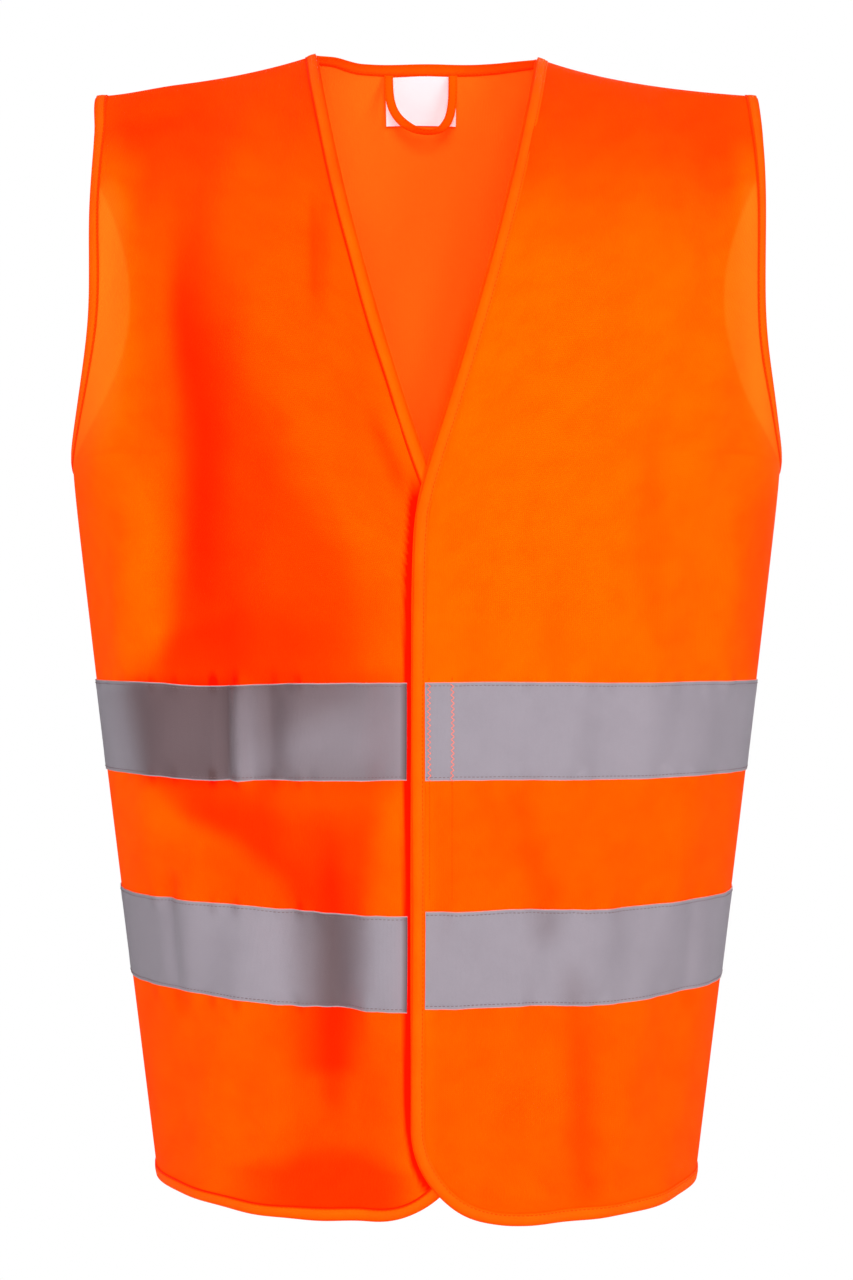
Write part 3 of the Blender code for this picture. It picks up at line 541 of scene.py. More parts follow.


# paintedShade and pale are the painted shade and painted light colours; paintedGlow is painted light, a
# constant emission, which on the label keeps the white bright
looks = {
    "cloth": {"colour": (0.84, 0.086, 0.0), "second": (0.92, 0.124, 0.0), "paintedShade": (0.74, 0.005, 0.0),
              "pale": (0.93, 0.235, 0.012), "weave": (880.0, 760.0, 1.2), "bump": 0.40, "grain": 0.22,
              "rough": 0.85,
              "sheen": 0.06, "sheenTint": (1.0, 0.35, 0.0), "specular": 0.10, "tint": (1.0, 0.3, 0.0),
              "paintedGlow": (1.0, 0.002, 0.0), "paintedGlowStrength": 0.62},
    "binding": {"colour": (0.88, 0.100, 0.0), "second": (0.92, 0.125, 0.0), "paintedShade": (0.55, 0.006, 0.0),
                "pale": (0.95, 0.19, 0.01), "weave": (1500.0, 900.0, 0.6),
                "bump": 0.45, "rough": 0.7, "sheen": 0.10, "sheenTint": (1.0, 0.4, 0.02), "specular": 0.16,
                "tint": (1.0, 0.4, 0.05), "paintedGlow": (1.0, 0.002, 0.0), "paintedGlowStrength": 0.50},
    "thread": {"colour": (0.80, 0.040, 0.0), "second": (0.86, 0.06, 0.0), "weave": (3000.0, 3000.0, 0.2),
               "bump": 0.1, "rough": 0.7, "specular": 0.1, "tint": (1.0, 0.3, 0.0), "paintedGlow": (1.0, 0.004, 0.0),
               "paintedGlowStrength": 0.35},
    "tape": {"colour": (0.274, 0.238, 0.276), "second": (0.300, 0.262, 0.303), "paintedShade": (0.095, 0.045, 0.048),
             "pale": (0.50, 0.28, 0.26), "weave": (1300.0, 1300.0, 1.6), "grain": 0.16,
             "bump": 0.35, "rough": 0.55, "specular": 0.4, "sheen": 0.2, "sheenTint": (0.95, 0.9, 1.0)},
    "seam": {"colour": (0.78, 0.09, 0.002), "second": (0.86, 0.12, 0.004), "weave": (900.0, 500.0, 1.4),
             "bump": 0.6, "rough": 0.9, "paintedGlow": (1.0, 0.004, 0.0), "paintedGlowStrength": 0.4},
    "nap": {"colour": (0.80, 0.085, 0.004), "second": (0.90, 0.13, 0.008), "weave": (800.0, 800.0, 3.0),
            "bump": 0.9, "rough": 0.95, "sheen": 0.6, "sheenTint": (1.0, 0.5, 0.2),
            "paintedGlow": (1.0, 0.004, 0.0), "paintedGlowStrength": 0.35},
    "tapeThread": {"colour": (0.12, 0.08, 0.09), "second": (0.26, 0.14, 0.15), "weave": (3000.0, 3000.0, 0.2),
                   "bump": 0.1, "rough": 0.6},
    "closureThread": {"colour": (0.90, 0.15, 0.10), "second": (0.95, 0.24, 0.18),
                      "weave": (3000.0, 3000.0, 0.2), "bump": 0.1, "rough": 0.6,
                      "paintedGlow": (1.0, 0.05, 0.03), "paintedGlowStrength": 0.12},
    "label": {"colour": (0.84, 0.80, 0.85), "second": (0.92, 0.90, 0.92), "weave": (2200.0, 1600.0, 0.4),
              "paintedGlow": (0.85, 0.95, 1.0), "paintedGlowStrength": 0.20, "bump": 0.15, "rough": 0.5, "specular": 0.4},
}
weave = weaveGroup()
finish = {name: textile(name + "Finish", look, weave) for name, look in looks.items()}

thread = {"pitch": 0.0028, "length": 0.0021, "radius": 0.00028, "lift": 0.0001}
bandThread = {"pitch": 0.0026, "length": 0.0018, "radius": 0.00024, "lift": 0.0001}
binding = {"leg": 0.0074, "wall": 0.0005, "gap": 0.0003, "puff": 0.00035, "groove": 0.0003,
           "row": 0.0013, "overSeam": 0.0010}


def bindingProfile():
    # tape folded round the edge: legs with a puffed middle and a sewn groove, and a half-round fold
    top = form["cloth"] + binding["gap"] + binding["wall"]
    low = -binding["gap"] - binding["wall"]
    leg, puff, groove = binding["leg"], binding["puff"], binding["groove"]
    upper = [(leg, top - 0.0002), (leg - 0.0006, top), (leg - binding["row"], top - groove),
             (leg - 0.0020, top + puff * 0.5), (leg * 0.45, top + puff), (0.0, top + puff * 0.3)]
    middle, radius = 0.5 * (top + low), 0.5 * (top - low)
    turn = np.linspace(0.35, 0.65, 4) * 2 * np.pi - np.pi / 2
    bend = [(-0.0006 + radius * math.cos(a) * 0.8, middle - radius * math.sin(a)) for a in turn]
    lower = [(m, middle - (n - middle)) for m, n in upper[::-1]]
    outer = np.array(upper + bend + lower)
    inner = outer[::-1].copy()
    inner[:, 1] = np.clip(inner[:, 1], -binding["gap"], form["cloth"] + binding["gap"])
    inner[:, 0] = np.maximum(inner[:, 0], -0.0003)
    return np.concatenate([outer, inner])


def evenPath(make, params, step):
    # the same path at even distances: its length is measured on dense points and read backwards
    run = runLength(make(params)[0][:, None], 0)[:, 0]
    count = int(round(run[-1] / step)) + 1
    return make(np.interp(np.linspace(0.0, run[-1], count), run, params))


def pathFrames(points, normals, sign, closed=False):  # directions into the cloth, across the path
    if closed:
        along = np.roll(points, -1, axis=0) - np.roll(points, 1, axis=0)
    else:
        along = np.gradient(points, axis=0)
    return unit(np.cross(normals, along)) * sign


def onSurface(surface, angle, z, side):  # points with their normals
    grid = surface(angle, z, side)
    return grid, normalsOf(surface, angle, z, side, grid)


def boundEdge(points, normals, sign, closed=False, limit=True, edgeShadowPaint=0.6):
    # the folded tape with its two rows of stitches, one on each face, and lines of painted shade and painted
    # highlight across it
    if closed:
        points, normals = points[:-1], normals[:-1]
    inward = pathFrames(points, normals, sign, closed)
    profile = bindingProfile()
    parts = [tubePart(points, normals, inward, profile, closed)]
    leg = profile[:, 0] / binding["leg"]
    # painted shading across the tape: a groove line painted light or dark, a painted shadow at the inner
    # edge, a painted highlight on the puffed middle, painted shade at the fold
    groove = 0.35 if edgeShadowPaint < 0.3 else -0.5 * edgeShadowPaint
    paintedShading = groove * (np.abs(leg - 0.83) < 0.03) - edgeShadowPaint * (leg > 0.9) + 0.1 * (np.abs(leg - 0.6) < 0.2)
    paintedShading = paintedShading - 0.25 * (leg < 0.02)
    parts[0]["paintedShading"] = np.tile(paintedShading, len(points))
    row = binding["leg"] - binding["row"]
    top = form["cloth"] + binding["gap"] + binding["wall"] - binding["groove"]
    for lift, facing in ((top, 1.0), (form["cloth"] - top, -1.0)):
        line = points + inward * row + normals * lift
        parts.append(stitchPart(line, normals * facing, thread))
    for part in parts if limit else ():  # cut level with the shoulder seam
        verts = part["verts"]
        crest = settled(verts[:, 0], crestHeight(verts[:, 0])) + binding["overSeam"]
        verts[:, 2] = np.minimum(verts[:, 2], crest)
    return parts


def frontEdgePath(side):
    lap, corner, hem = laps[side]["lap"], form["corner"], form["hem"]

    def make(s):  # 0 to 1 down to the corner, 1 to 2 round it, 2 to 3 along the hem
        turn = np.clip(s - 1.0, 0.0, 1.0) * np.pi / 2
        z = np.where(s < 1.0, (hem + corner) * np.clip(s, 0, 1) ** 1.3, hem + corner * (1.0 - np.sin(turn)))
        edge = openingEdge(np.maximum(z, hem + corner), lap) + corner * (1.0 - np.cos(turn))
        start = angleAt(edge, z)
        angle = start + (np.pi / 2 - start) * np.clip(s - 2.0, 0.0, 1.0)
        return onSurface(frontSurface, angle, z, side)

    return evenPath(make, np.linspace(0.0, 3.0, 3001), 0.003)


def armholePath(side):  # up the front's armhole edge and down the back's, slower at the underarm and the tip
    tip, low = -form["shoulderDrop"], form["underarm"]

    def half(surface, w):
        z = low + (tip - low) * w
        edge = armholeEdge(z) * (side if surface is backSurface else 1)
        return onSurface(surface, angleAt(edge, z), z, side)

    def make(s):  # 0 to 1 up the front edge, 1 to 2 down the back edge
        w = np.where(s < 1.0, s, 2.0 - s)
        w = w ** 2.4 * (1 - w) + (1 - (1 - w) ** 2) * w
        ahead, behind = half(frontSurface, w), half(backSurface, w)
        return tuple(np.where((s < 1.0)[:, None], a, b) for a, b in zip(ahead, behind))

    return evenPath(make, np.linspace(0.0, 2.0, 4001), 0.003)


def neckPath():
    def make(x):  # along the back neckline, a parabola between the two neck points
        z = form["neckRise"] * (1.0 - (x / form["neckHalf"]) ** 2)
        return onSurface(backSurface, angleAt(x, z), z, 1)

    return evenPath(make, np.linspace(form["neckHalf"], -form["neckHalf"], 801), 0.003)


def backHemPath():
    def make(angle):
        return onSurface(backSurface, angle, form["hem"] + 0.0 * angle, 1)

    return evenPath(make, np.linspace(np.pi / 2, -np.pi / 2, 801), 0.003)


# Painted shades: soft-edged strips of painted shade where the cloth turns from the light. Each has rows of
# (z, from, to), how soft its right, left, lower and upper edges are, how deep it is, and whether it's on the
# cloth only, not on the tapes
frontShades = [
    ([(0.04, -0.3, 0.3), (-0.105, -0.3, 0.3)], (0.01, 0.01, 0.11, 0.01), 0.47, False),
    ([(-0.12, -0.163, -0.004), (-0.4, -0.163, -0.004)], (0.022, 0.01, 0.06, 0.08), 0.17, True),
    ([(-0.12, -0.11, -0.034), (-0.32, -0.1, -0.02)], (0.03, 0.03, 0.05, 0.08), 0.17, True),
    ([(-0.15, -0.164, -0.12), (-0.21, -0.16, -0.112), (-0.3, -0.155, -0.078), (-0.345, -0.155, -0.044),
      (-0.38, -0.158, -0.032), (-0.43, -0.175, -0.026)], (0.018, 0.045, 0.06, 0.12), 0.58, False),
    ([(-0.17, -0.162, -0.144), (-0.21, -0.156, -0.136), (-0.26, -0.148, -0.128),
      (-0.38, -0.148, -0.126)], (0.016, 0.024, 0.08, 0.12), 0.62, False),
    ([(-0.375, -0.12, -0.08), (-0.395, -0.165, -0.06), (-0.43, -0.2, -0.05), (-0.48, -0.185, -0.125),
      (-0.512, -0.15, -0.1)], (0.03, 0.05, 0.02, 0.03), 0.4, False),
    ([(-0.415, -0.096, -0.088), (-0.485, -0.096, -0.086)], (0.008, 0.01, 0.01, 0.01), 0.25, False),
    ([(-0.42, -0.19, -0.119), (-0.485, -0.178, -0.121)], (0.02, 0.007, 0.014, 0.014), 0.74, False),
    ([(-0.415, -0.104, -0.014), (-0.49, -0.104, -0.014)], (0.01, 0.02, 0.016, 0.016), 0.34, False),
    ([(-0.485, -0.166, -0.026), (-0.505, -0.148, -0.028), (-0.525, -0.114, -0.032),
      (-0.545, -0.09, -0.034), (-0.57, -0.08, -0.038), (-0.62, -0.078, -0.042),
      (-0.665, -0.078, -0.044)], (0.032, 0.022, 0.014, 0.06), 0.66, False),
    ([(-0.52, -0.064, -0.052), (-0.69, -0.066, -0.05)], (0.014, 0.016, 0.04, 0.04), 0.55, False),
    ([(-0.52, -0.19, -0.012), (-0.76, -0.19, -0.012)], (0.02, 0.02, 0.01, 0.05), 0.22, True),
    ([(-0.708, -0.07, -0.05), (-0.728, -0.112, -0.012), (-0.8, -0.118, -0.005)],
     (0.05, 0.04, 0.04, 0.035), 0.6, False),
    ([(-0.26, -0.036, -0.028), (-0.3, -0.02, -0.01)], (0.012, 0.012, 0.02, 0.02), 0.38, False),
    ([(-0.115, -0.0735, -0.07), (-0.18, -0.0725, -0.068)], (0.006, 0.006, 0.02, 0.02), 0.32, False),
    ([(-0.047, -0.205, -0.17), (-0.066, -0.2, -0.18)], (0.02, 0.02, 0.02, 0.02), 0.28, False),
    ([(-0.47, 0.003, 0.3), (-0.8, 0.003, 0.3)], (0.01, 0.01, 0.03, 0.04), 0.22, True),
    ([(-0.485, 0.048, 0.056), (-0.55, 0.066, 0.082), (-0.58, 0.066, 0.08)],
     (0.022, 0.022, 0.02, 0.02), 0.32, False),
    ([(-0.6, 0.084, 0.096), (-0.75, 0.092, 0.108)], (0.02, 0.02, 0.03, 0.03), 0.34, False),
    ([(-0.27, 0.134, 0.146), (-0.41, 0.136, 0.15)], (0.02, 0.02, 0.08, 0.04), 0.16, False),
    ([(-0.3, 0.205, 0.3), (-0.42, 0.2, 0.3)], (0.03, 0.02, 0.03, 0.04), 0.3, False),
]
gapShade = (  # painted shadow on the right front, where the left one shades it
    [(-0.3, -0.01, 0.03), (-0.355, -0.0139, 0.03), (-0.68, -0.0141, 0.03), (-0.7, -0.0128, 0.03),
     (-0.72, -0.0094, 0.03), (-0.735, -0.003, 0.03), (-0.75, 0.008, 0.03)],
    (0.0036, 0.01, 0.06, 0.03), 1.2, False)
backShades = [
    ([(-0.1, -0.095, -0.07), (-0.3, -0.115, -0.08), (-0.45, -0.095, -0.07)],
     (0.03, 0.05, 0.08, 0.08), 0.35, False),
    ([(-0.08, 0.06, 0.08), (-0.28, 0.085, 0.11), (-0.42, 0.075, 0.095)],
     (0.03, 0.04, 0.08, 0.08), 0.32, False),
    ([(-0.48, -0.125, -0.105), (-0.76, -0.1, -0.08)], (0.03, 0.03, 0.05, 0.03), 0.35, False),
    ([(-0.5, 0.095, 0.108), (-0.76, 0.108, 0.124)], (0.03, 0.03, 0.05, 0.03), 0.3, False),
]


def shadesOf(side):
    return frontShades + [gapShade] if side < 0 else frontShades


# Panels
def shaded(shades, x, z):  # painted shade in strips between two lines down the cloth, each edge softened
    lit = np.ones(np.broadcast(x, z).shape)
    for rows, soft, depth, clothOnly in shades:
        level, start, stop = np.array(sorted(rows)).T
        first, last = np.interp(z, level, start), np.interp(z, level, stop)
        strip = smooth((x - first) / soft[0] + 0.5) * smooth((last - x) / soft[1] + 0.5)
        strip = strip * smooth((z - level[0]) / soft[2] + 0.5) * smooth((level[-1] - z) / soft[3] + 0.5)
        lit *= 1.0 - depth * strip
    return 1.0 - lit


def paintedPuckerShadows(x, z, depth):  # painted shadows between the puckers along a sewn tape's edges
    first, second = puckers["waves"][:2]
    ripple = np.sin(x * 2 * np.pi / first) + np.sin(x * 2 * np.pi / second + 1.7)
    swell = np.sin(x * puckers["shadowPaintSwell"] + 0.6) ** 2
    ripple = ripple * (puckers["shadowPaintLeast"] + (1.0 - puckers["shadowPaintLeast"]) * swell) * (0.6 - 0.4 * np.sign(x))
    reach = puckers["shadowPaintReach"]
    near = sum(np.exp(-((z - level) / reach) ** 2) for pair in tapes.values() for level in pair)
    return depth * np.maximum(ripple - 0.5, 0.0) / 1.5 * near


# painted shade in the folds' hollows and between the puckers
paintedHollowShade = {"depth": 0.006, "share": 0.30, "puckers": 0.35}
paintedArmLight = {  # painted light by the armholes, on the right and on the left; edges are a place and a span
    "margin": 0.010, "reach": (0.034, 0.016), "strength": (0.38, 0.26),
    "low": (-0.30, 0.05), "high": (-0.05, -0.07),
    "facing": 0.30, "facingWidth": 0.030, "facingLow": -0.29, "facingSpan": 0.21, "facingSoft": 0.003,
}


def paintedShadingOf(folds, shades, x, z):
    # painted shading: below zero for painted shade in hollows, shaded cloth and between puckers, above zero
    # for painted light where light comes through beside the armholes
    hollowShade = np.clip(-foldDepth(folds, x, z) / paintedHollowShade["depth"], 0.0, 1.0) * paintedHollowShade["share"]
    dark = 1.0 - (1.0 - shaded(shades, x, z)) * (1.0 - hollowShade) + paintedPuckerShadows(x, z, paintedHollowShade["puckers"])
    edge = armholeEdge(z) - np.abs(x)
    reach, strength = (np.where(x < 0, *paintedArmLight[key]) for key in ("reach", "strength"))
    beside = smooth(1.0 - (edge - paintedArmLight["margin"]) / reach)
    beside = beside * ramp(z, paintedArmLight["low"]) * ramp(z, paintedArmLight["high"])
    # painted light in a lens between the armhole and a half sine
    along = np.clip((z - paintedArmLight["facingLow"]) / paintedArmLight["facingSpan"], 0.0, 1.0)
    lens = paintedArmLight["facingWidth"] * np.sin(np.pi * along)
    facing = paintedArmLight["facing"] * smooth((lens - edge) / paintedArmLight["facingSoft"] + 0.5) * (lens > 0.001)
    return beside * strength + facing - dark * (1.0 - beside) * (1.0 - facing)


inside = {  # painted light and shadow on the back's inner face, seen through the neck
    "paintedShading": 0.80, "across": (0.12, -0.05), "down": (-0.40, 0.15),
    "shadow": 0.70, "shadowWidth": 0.016, "shadowLow": (-0.33, 0.10), "shadowHigh": (-0.10, -0.10),
}


def innerPaintedShading(x, z):  # painted light, paler at the middle, with a painted shadow just inside the V's edges
    paintedShading = inside["paintedShading"] * ramp(np.abs(x), inside["across"]) * ramp(z, inside["down"])
    besideV = smooth(1.0 - np.abs(x - necklineEdge(z) * 0.86) / inside["shadowWidth"])
    return paintedShading - inside["shadow"] * besideV * ramp(z, inside["shadowLow"]) * ramp(z, inside["shadowHigh"])


def buildPanels():  # the two fronts and the back
    for side in (1, -1):
        angle, z = frontGrid(side, 150)
        grid, normals = onSurface(frontSurface, angle, z, side)
        paintedShading = paintedShadingOf(frontFolds, shadesOf(side), grid[..., 0], grid[..., 2])
        word = wordOf[side]
        piece = makePiece(word + "_front", [shellPart(grid, normals, 0.0, form["cloth"], paintedShading=paintedShading)],
                          [finish["cloth"]], [word + "_front_side", word + "_front_flap"])
        bendWithFront(piece)
    angle, z = backGrid(171)
    grid, normals = onSurface(backSurface, angle, z, 1)
    x, z = grid[..., 0], grid[..., 2]
    paintedShading = paintedShadingOf(backFolds, backShades, x, z)
    cloth = shellPart(grid, normals, 0.0, form["cloth"], paintedShading=paintedShading, innerPaintedShading=innerPaintedShading(x, z))
    piece = makePiece("back", [cloth], [finish["cloth"]], ["back_panel"])
    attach(piece, shell)


# the band's puckers value is the depth of the painted shadows between its puckers
band = {
    "lift": 0.0003, "thick": 0.0005, "underEnd": 0.0119, "curl": 0.00012, "curlWave": 0.017, "puckers": 0.3,
    "sags": {"upper": (-0.0030, -0.140, 0.042), "lower": (0.0016, 0.06, 0.03)},  # height, middle, width
    "waver": 0.0004, "waverTurns": 37, "placket": -0.0030, "placketEdge": (-0.13, 0.10),
    "sideFade": (0.19, -0.05),
}


def bandSag(name, x):  # a bell along the front, with a slight sine above and a smooth step below
    height, middle, width = band["sags"][name]
    bell = height * np.exp(-((x - middle) / width) ** 2)
    if name == "upper":
        return bell + band["waver"] * np.sin(x * band["waverTurns"])
    return bell + band["placket"] * ramp(x, band["placketEdge"]) * (x < -0.002)


bandRows = np.concatenate([[0.0, 0.006, 0.014], np.linspace(0.036, 0.964, 18), [0.986, 0.994, 1.0]])


def bandParts(name, surface, side, first, last, columns):
    # a strip of the surface between two heights, lifted off the cloth, with a row of stitches along each edge
    # and painted shade on it
    low, high = tapes[name]
    level = low + (high - low) * bandRows[:, None]
    angle = first + (last - first) * np.linspace(0.0, 1.0, columns)[None, :]
    flatX = side * halfWidth(level) * section(angle)[0]
    sag = bandSag(name, flatX) * ramp(np.abs(flatX), band["sideFade"]) if surface is frontSurface else 0.0
    z = level + sag + 0.0 * angle
    grid, normals = onSurface(surface, angle + 0.0 * z, z, side)
    near = form["cloth"] + band["lift"]
    curl = band["curl"] * np.sin(runLength(grid, 1) * 2 * np.pi / band["curlWave"])
    curl = curl * (np.abs(level - (low + high) / 2) > 0.02)  # only along the two edges
    # painted shade: the cloth's painted shade strips, all but those on the cloth only, and painted shadows
    # between the puckers
    if surface is frontSurface:
        kept = [shade for shade in shadesOf(side) if not shade[-1]]
        paintedShading = -np.clip(shaded(kept, grid[..., 0], grid[..., 2]), 0.0, 1.0)
    else:
        paintedShading = -shaded(backShades, grid[..., 0], grid[..., 2])
    paintedShading = paintedShading - paintedPuckerShadows(grid[..., 0], grid[..., 2], band["puckers"])
    # the rows at each edge are coloured paler
    rim = np.minimum(bandRows, 1.0 - bandRows)[:, None] < 0.007
    parts = [shellPart(grid, normals, near + curl, near + band["thick"] + curl,
                       paintedShading=np.where(rim, 1.0 + paintedShading * 0.5, paintedShading))]
    for row in (3, -4):
        lift = (near + band["thick"] + curl[row])[:, None]
        parts.append(stitchPart(grid[row] + normals[row] * lift, normals[row], bandThread))
    return parts


def buildBands():  # each band is one tape on the back and one on each front
    for name in ("upper", "lower"):
        low, high = tapes[name]
        level = low + (high - low) * bandRows[:, None]
        for side in (1, -1):
            first = openingEdge(level, laps[side]["lap"]) + binding["leg"] + 0.0003
            if side < 0:  # this tape stops short of the underlap
                first = 0.0 * level + band["underEnd"]
            first = angleAt(first, level)
            word = wordOf[side]
            parts = bandParts(name, frontSurface, side, first, np.pi / 2, 110)
            piece = makePiece(name + "_band_" + word, parts, [finish["tape"], finish["tapeThread"]],
                              [name + "_band_" + word + "_side", name + "_band_" + word + "_flap"])
            bendWithFront(piece)
        parts = bandParts(name, backSurface, 1, -np.pi / 2, np.pi / 2, 200)
        piece = makePiece(name + "_band_over_back", parts, [finish["tape"], finish["tapeThread"]],
                          [name + "_band_back"])
        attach(piece, shell)


def buildBindings():  # one folded tape for each free edge
    pair = [finish["binding"], finish["thread"]]
    for side in (1, -1):
        word = wordOf[side]
        points, normals = frontEdgePath(side)
        piece = makePiece(word + "_front_edge", boundEdge(points, normals, side, edgeShadowPaint=0.5 - 0.45 * side),
                          pair, [word + "_front_binding"])
        bendWithFront(piece)
        points, normals = armholePath(side)
        piece = makePiece(word + "_armhole_edge", boundEdge(points, normals, side, closed=True), pair,
                          [word + "_armhole_binding"])
        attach(piece, shell)
    points, normals = neckPath()
    piece = makePiece("neck_edge", boundEdge(points, normals, -1, limit=False), pair,
                      ["neck_binding"])
    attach(piece, shell)
    points, normals = backHemPath()
    piece = makePiece("hem_edge", boundEdge(points, normals, 1), pair, ["hem_binding"])
    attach(piece, shell)


seam = {"half": 0.0045, "thick": 0.0009, "depth": 0.0007, "crown": 0.0005, "inset": 0.009}
overlock = {"pitch": 0.0026, "length": 0.0034, "radius": 0.0002, "lift": 0.0, "slant": 1.0}


def seamParts(points, normals, over):
    # allowance pressed to one side, with overlock stitches slanting across it
    profile = np.array([(-seam["half"], -seam["depth"]), (seam["half"], -seam["depth"]),
                        (seam["half"], -seam["depth"] - seam["thick"] * 0.7),
                        (seam["crown"], -seam["depth"] - seam["thick"]),
                        (-seam["crown"], -seam["depth"] - seam["thick"]),
                        (-seam["half"], -seam["depth"] - seam["thick"] * 0.7)])
    parts = [tubePart(points, normals, over, profile)]
    for share in (-0.55, 0.0, 0.55):
        line = points + over * seam["half"] * share - normals * (seam["depth"] + seam["thick"] * 0.95)
        parts.append(stitchPart(line, -normals, overlock))
    return parts


def buildSeams():  # straight up each side and along each shoulder line, just inside the cloth
    pair = [finish["seam"], finish["thread"]]
    for side in (1, -1):
        word = wordOf[side]
        z = np.linspace(form["hem"] + seam["inset"], form["underarm"] - seam["inset"], 150)
        points, normals = onSurface(frontSurface, np.full_like(z, np.pi / 2), z, side)
        points[:, 1] = 0.0
        over = np.zeros_like(points) + np.array([0.0, 1.0, 0.0])
        out = unit(np.stack([normals[:, 0], 0.0 * z, normals[:, 2]], axis=-1))
        piece = makePiece(word + "_side_seam_sewn", seamParts(points, out, over), pair,
                          [word + "_side_seam"])
        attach(piece, shell)
        x = np.linspace(form["neckHalf"] + seam["inset"], form["shoulderHalf"] - seam["inset"], 60)
        points = np.stack([side * x, 0.0 * x, crestHeight(x)], axis=-1)
        along = unit(np.gradient(points, axis=0))
        over = np.zeros_like(points) + np.array([0.0, 1.0, 0.0])
        up = unit(np.cross(along, over)) * side
        points = points - up * form["seamGap"]
        piece = makePiece(word + "_shoulder_seam_sewn", seamParts(points, up, over), pair,
                          [word + "_shoulder_seam"])
        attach(piece, shell)


closure = {"thick": 0.0005, "pitch": 0.0019, "columns": (0.0018, 0.0158), "inset": 0.002}
hooks = {"pitch": closure["pitch"], "length": 0.0011, "radius": 0.00035, "lift": 0.00015}
zigzag = {"pitch": 0.0017, "length": 0.0029, "radius": 0.00028, "lift": 0.0001, "slant": 1.2, "zigzag": True}


def stripGrid(node, side, rows, columns):  # a patch of the front that covers the strip's own box
    low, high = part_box(node)
    z = np.linspace(low.z, high.z, rows)[:, None]
    x = np.linspace(low.x + 0.0006, high.x - 0.0006, columns)[None, :] * side
    angle = angleAt(x + 0.0 * z, z + 0.0 * x)
    return onSurface(frontSurface, angle, z + 0.0 * x, side)


def buildClosure():
    # two patches between the lapped fronts, covered in leaning hooks, and the stitches that hold them
    for node, side, face in (("hook_strip", 1, -1), ("loop_strip", -1, 1)):
        grid, normals = stripGrid(node, side, 60, 9)
        base = 0.0003 if face < 0 else form["cloth"] + band["lift"] + band["thick"] + 0.0002
        near, far = sorted((face * base, face * (base + closure["thick"])))
        parts = [shellPart(grid, normals, np.full(grid.shape[:2], near), np.full(grid.shape[:2], far))]
        rowsOfHooks = int((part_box(node)[1].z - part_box(node)[0].z) / closure["pitch"])
        fine, fineNormals = stripGrid(node, side, rowsOfHooks, 9)
        for column in range(1, 8):
            line = fine[:, column] + fineNormals[:, column] * face * (base + closure["thick"])
            leaning = {**hooks, "slant": 0.9 if column % 2 else -0.9}
            parts.append(stitchPart(line, fineNormals[:, column] * face, leaning, slot=0))
        piece = makePiece(node + "_napped", parts, [finish["nap"]], [node])
        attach(piece, wordOf[side] + "_front")
    rows = []  # the strip is sewn through the top front by two upright columns of slanting stitches
    low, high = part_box("hook_strip")
    upperLow, upperHigh = tapes["upper"]
    spans = ((low.z + closure["inset"], upperLow - 0.001, 1, 0.0), (upperLow, upperHigh, 0, 0.0008),
             (upperHigh + 0.001, high.z - closure["inset"], 1, 0.0))
    for middle in closure["columns"]:
        for start, stop, slot, lift in spans:
            z = np.linspace(start, stop, 80)
            points, normals = onSurface(frontSurface, angleAt(0.0 * z + middle, z), z, 1)
            points = points + normals * (form["cloth"] + lift)
            rows.append(stitchPart(points, normals, bandThread if slot else zigzag, slot=slot))
    piece = makePiece("closure_stitching", rows, [finish["closureThread"], finish["thread"]])
    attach(piece, "left_front")


label = {"rows": 26, "columns": 30, "thick": 0.00035, "curl": 0.0035, "lift": 0.0012,
         "below": 0.006, "short": 0.0022, "stitched": (0.08, 0.92)}


def buildLabel():
    # a patch of the back's inner face, hanging from the neckline, with its lower corners curling in
    low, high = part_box("neck_label")
    x = np.linspace(low.x, high.x, label["columns"])[None, :]
    topZ = form["neckRise"] * (1.0 - (x / form["neckHalf"]) ** 2) - label["below"]
    t = np.linspace(1.0, 0.0, label["rows"])[:, None]
    z = topZ + (low.z + label["short"] - topZ) * t
    grid, normals = onSurface(backSurface, angleAt(x + 0.0 * z, z), z, 1)
    side = np.abs(x - (low.x + high.x) / 2) / ((high.x - low.x) / 2)
    lift = label["lift"] + label["curl"] * t ** 2 * (0.35 + 0.65 * side ** 3)
    parts = [shellPart(grid, normals, -lift - label["thick"], -lift)]
    for share in label["stitched"]:
        column = int(share * (label["columns"] - 1))
        line = grid[4:, column] - normals[4:, column] * (lift[4:, column] + label["thick"])[:, None]
        parts.append(stitchPart(line, -normals[4:, column], bandThread))
    piece = makePiece("neck_label_cloth", parts, [finish["label"], finish["label"]],
                      ["neck_label"])
    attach(piece, shell)


loop = {"half": 0.0225, "offset": -0.0040, "drop": 0.0405, "width": 0.0062, "thick": 0.0009, "steps": 70,
        "skew": 0.0055, "fullness": 0.62, "below": 0.0003, "bow": 0.0046}


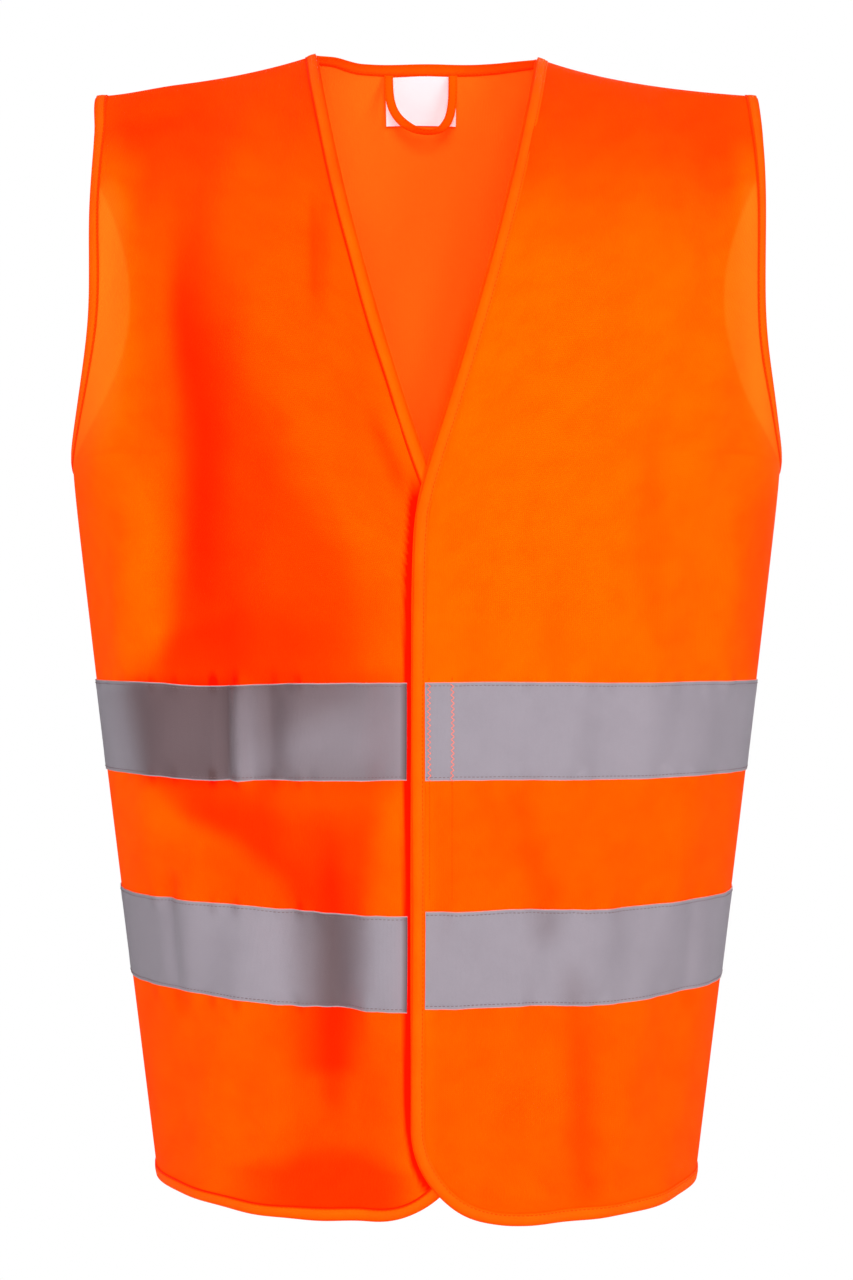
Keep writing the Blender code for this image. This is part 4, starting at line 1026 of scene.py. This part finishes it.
def buildLoop():
    # a flat ribbon in a hanging U: a cosine across, a power of a sine down, leaning in on its right side
    pivot = np.array(loopJoint["pos_m"])
    turn = np.linspace(0.0, np.pi, loop["steps"])
    x = loop["offset"] - np.cos(turn) * loop["half"] + loop["skew"] * np.sin(turn) ** 2
    z = -np.sin(turn) ** loop["fullness"] * loop["drop"] - loop["below"]
    bow = loop["bow"] * np.sin(turn) ** 2
    points = pivot + np.stack([x, -bow, z], axis=-1)
    twist = np.sin(turn) ** 3  # edge on at its lowest point
    out = unit(np.stack([0.04 * np.cos(turn), -1.0 + 0.6 * twist, -0.85 * twist], axis=-1))
    along = np.gradient(points, axis=0)
    along[0], along[-1] = (0, 0, -1), (0, 0, 1)
    over = unit(np.cross(out, along))
    out = unit(np.cross(along, over))
    half, thick = loop["width"] / 2, loop["thick"] / 2
    edge = np.array([(half, thick * 0.5), (half * 0.9, thick), (0.0, thick * 1.15), (-half * 0.9, thick),
                     (-half, thick * 0.5), (-half, -thick * 0.5), (-half * 0.9, -thick),
                     (0.0, -thick * 1.15), (half * 0.9, -thick), (half, -thick * 0.5)])
    parts = [tubePart(points, out, over, edge)]
    for share in (-0.72, 0.72):
        line = points + over * half * share + out * thick
        parts.append(stitchPart(line, out, bandThread))
    piece = makePiece("hanger_ribbon", parts, [finish["binding"], finish["thread"]],
                      ["hanger_loop"])
    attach(piece, "hanger_loop")


buildPanels()
buildBands()
buildBindings()
buildSeams()
buildClosure()
buildLabel()
buildLoop()


# Floor, light and camera
def lookAt(obj, target):  # turns a lamp's -Z to its target
    direction = np.array(target) - np.array(obj.location)
    obj.rotation_euler = Vector(direction).to_track_quat("-Z", "Y").to_euler()


def addLight(name, place, target, size, power):
    data = bpy.data.lights.new(name, "AREA")
    data.shape, data.size, data.energy = "SQUARE", size, power
    lamp = bpy.data.objects.new(name, data)
    lamp.location = place
    bpy.context.scene.collection.objects.link(lamp)
    lookAt(lamp, target)
    lamp.visible_camera = False


studio = {"floorDrop": 1.35, "floorRadius": 4.0, "middle": (0.0, 0.0, -0.395), "distance": 1.45, "lens": 59.8,
          "floorGlow": 0.75, "backdrop": 1.0, "ambient": 0.26}
lamps = {  # place, target, size in metres and power in watts
    "key": ((1.5, -2.1, 0.1), studio["middle"], 1.3, 29.8),
    "front": ((0.1, -3.2, 0.1), (0.0, 0.0, -0.2), 1.0, 57.8),
    "fill": ((-2.0, -1.5, -0.2), studio["middle"], 1.6, 15.0),
    "back": ((0.6, 2.2, 0.6), studio["middle"], 1.6, 40.0),
}


def buildStudio():  # a round pale floor, an even backdrop, the lamps and a level camera before the vest
    turn = np.linspace(0.0, 2 * np.pi, 97)[:-1]
    level = form["hem"] - studio["floorDrop"]
    rim = np.stack([np.cos(turn), np.sin(turn), 0.0 * turn], axis=-1) * studio["floorRadius"]
    rim[:, 2] = level
    mesh = bpy.data.meshes.new("floor")
    mesh.from_pydata(rim.tolist(), [], [list(range(len(rim)))])
    pale = bpy.data.materials.new("paleFloor")
    pale.use_nodes = True
    shader = pale.node_tree.nodes["Principled BSDF"]
    shader.inputs["Base Color"].default_value = (0.88, 0.88, 0.88, 1.0)
    shader.inputs["Roughness"].default_value = 0.8
    shader.inputs["Emission Color"].default_value = (1.0, 1.0, 1.0, 1.0)
    seen = pale.node_tree.nodes.new("ShaderNodeLightPath")
    even = mathNode(pale.node_tree, "MULTIPLY", seen.outputs["Is Camera Ray"], studio["floorGlow"])
    pale.node_tree.links.new(even, shader.inputs["Emission Strength"])
    mesh.materials.append(pale)
    floor = bpy.data.objects.new("floor", mesh)
    bpy.context.scene.collection.objects.link(floor)
    world = bpy.data.worlds.new("studio")
    bpy.context.scene.world = world
    world.use_nodes = True
    tree = world.node_tree
    seen = tree.nodes.new("ShaderNodeLightPath")
    plain = newNode(tree, "ShaderNodeBackground", Color=(1.0, 1.0, 1.0, 1.0), Strength=studio["backdrop"])
    soft = newNode(tree, "ShaderNodeBackground", Color=(1.0, 1.0, 1.0, 1.0), Strength=studio["ambient"])
    mixed = tree.nodes.new("ShaderNodeMixShader")
    tree.links.new(seen.outputs["Is Camera Ray"], mixed.inputs[0])
    tree.links.new(soft.outputs[0], mixed.inputs[1])
    tree.links.new(plain.outputs[0], mixed.inputs[2])
    tree.links.new(mixed.outputs[0], tree.nodes["World Output"].inputs[0])
    for name, (place, target, size, power) in lamps.items():
        addLight(name, place, target, size, power)
    data = bpy.data.cameras.new("camera")
    data.lens, data.sensor_width = studio["lens"], 36.0
    camera = bpy.data.objects.new("camera", data)
    camera.location = (0.0, -studio["distance"], studio["middle"][2])
    camera.rotation_euler = (math.pi / 2, 0.0, 0.0)
    bpy.context.scene.collection.objects.link(camera)
    bpy.context.scene.camera = camera
    bpy.context.scene.view_settings.view_transform = "Standard"


buildStudio()
bpy.context.view_layer.update()
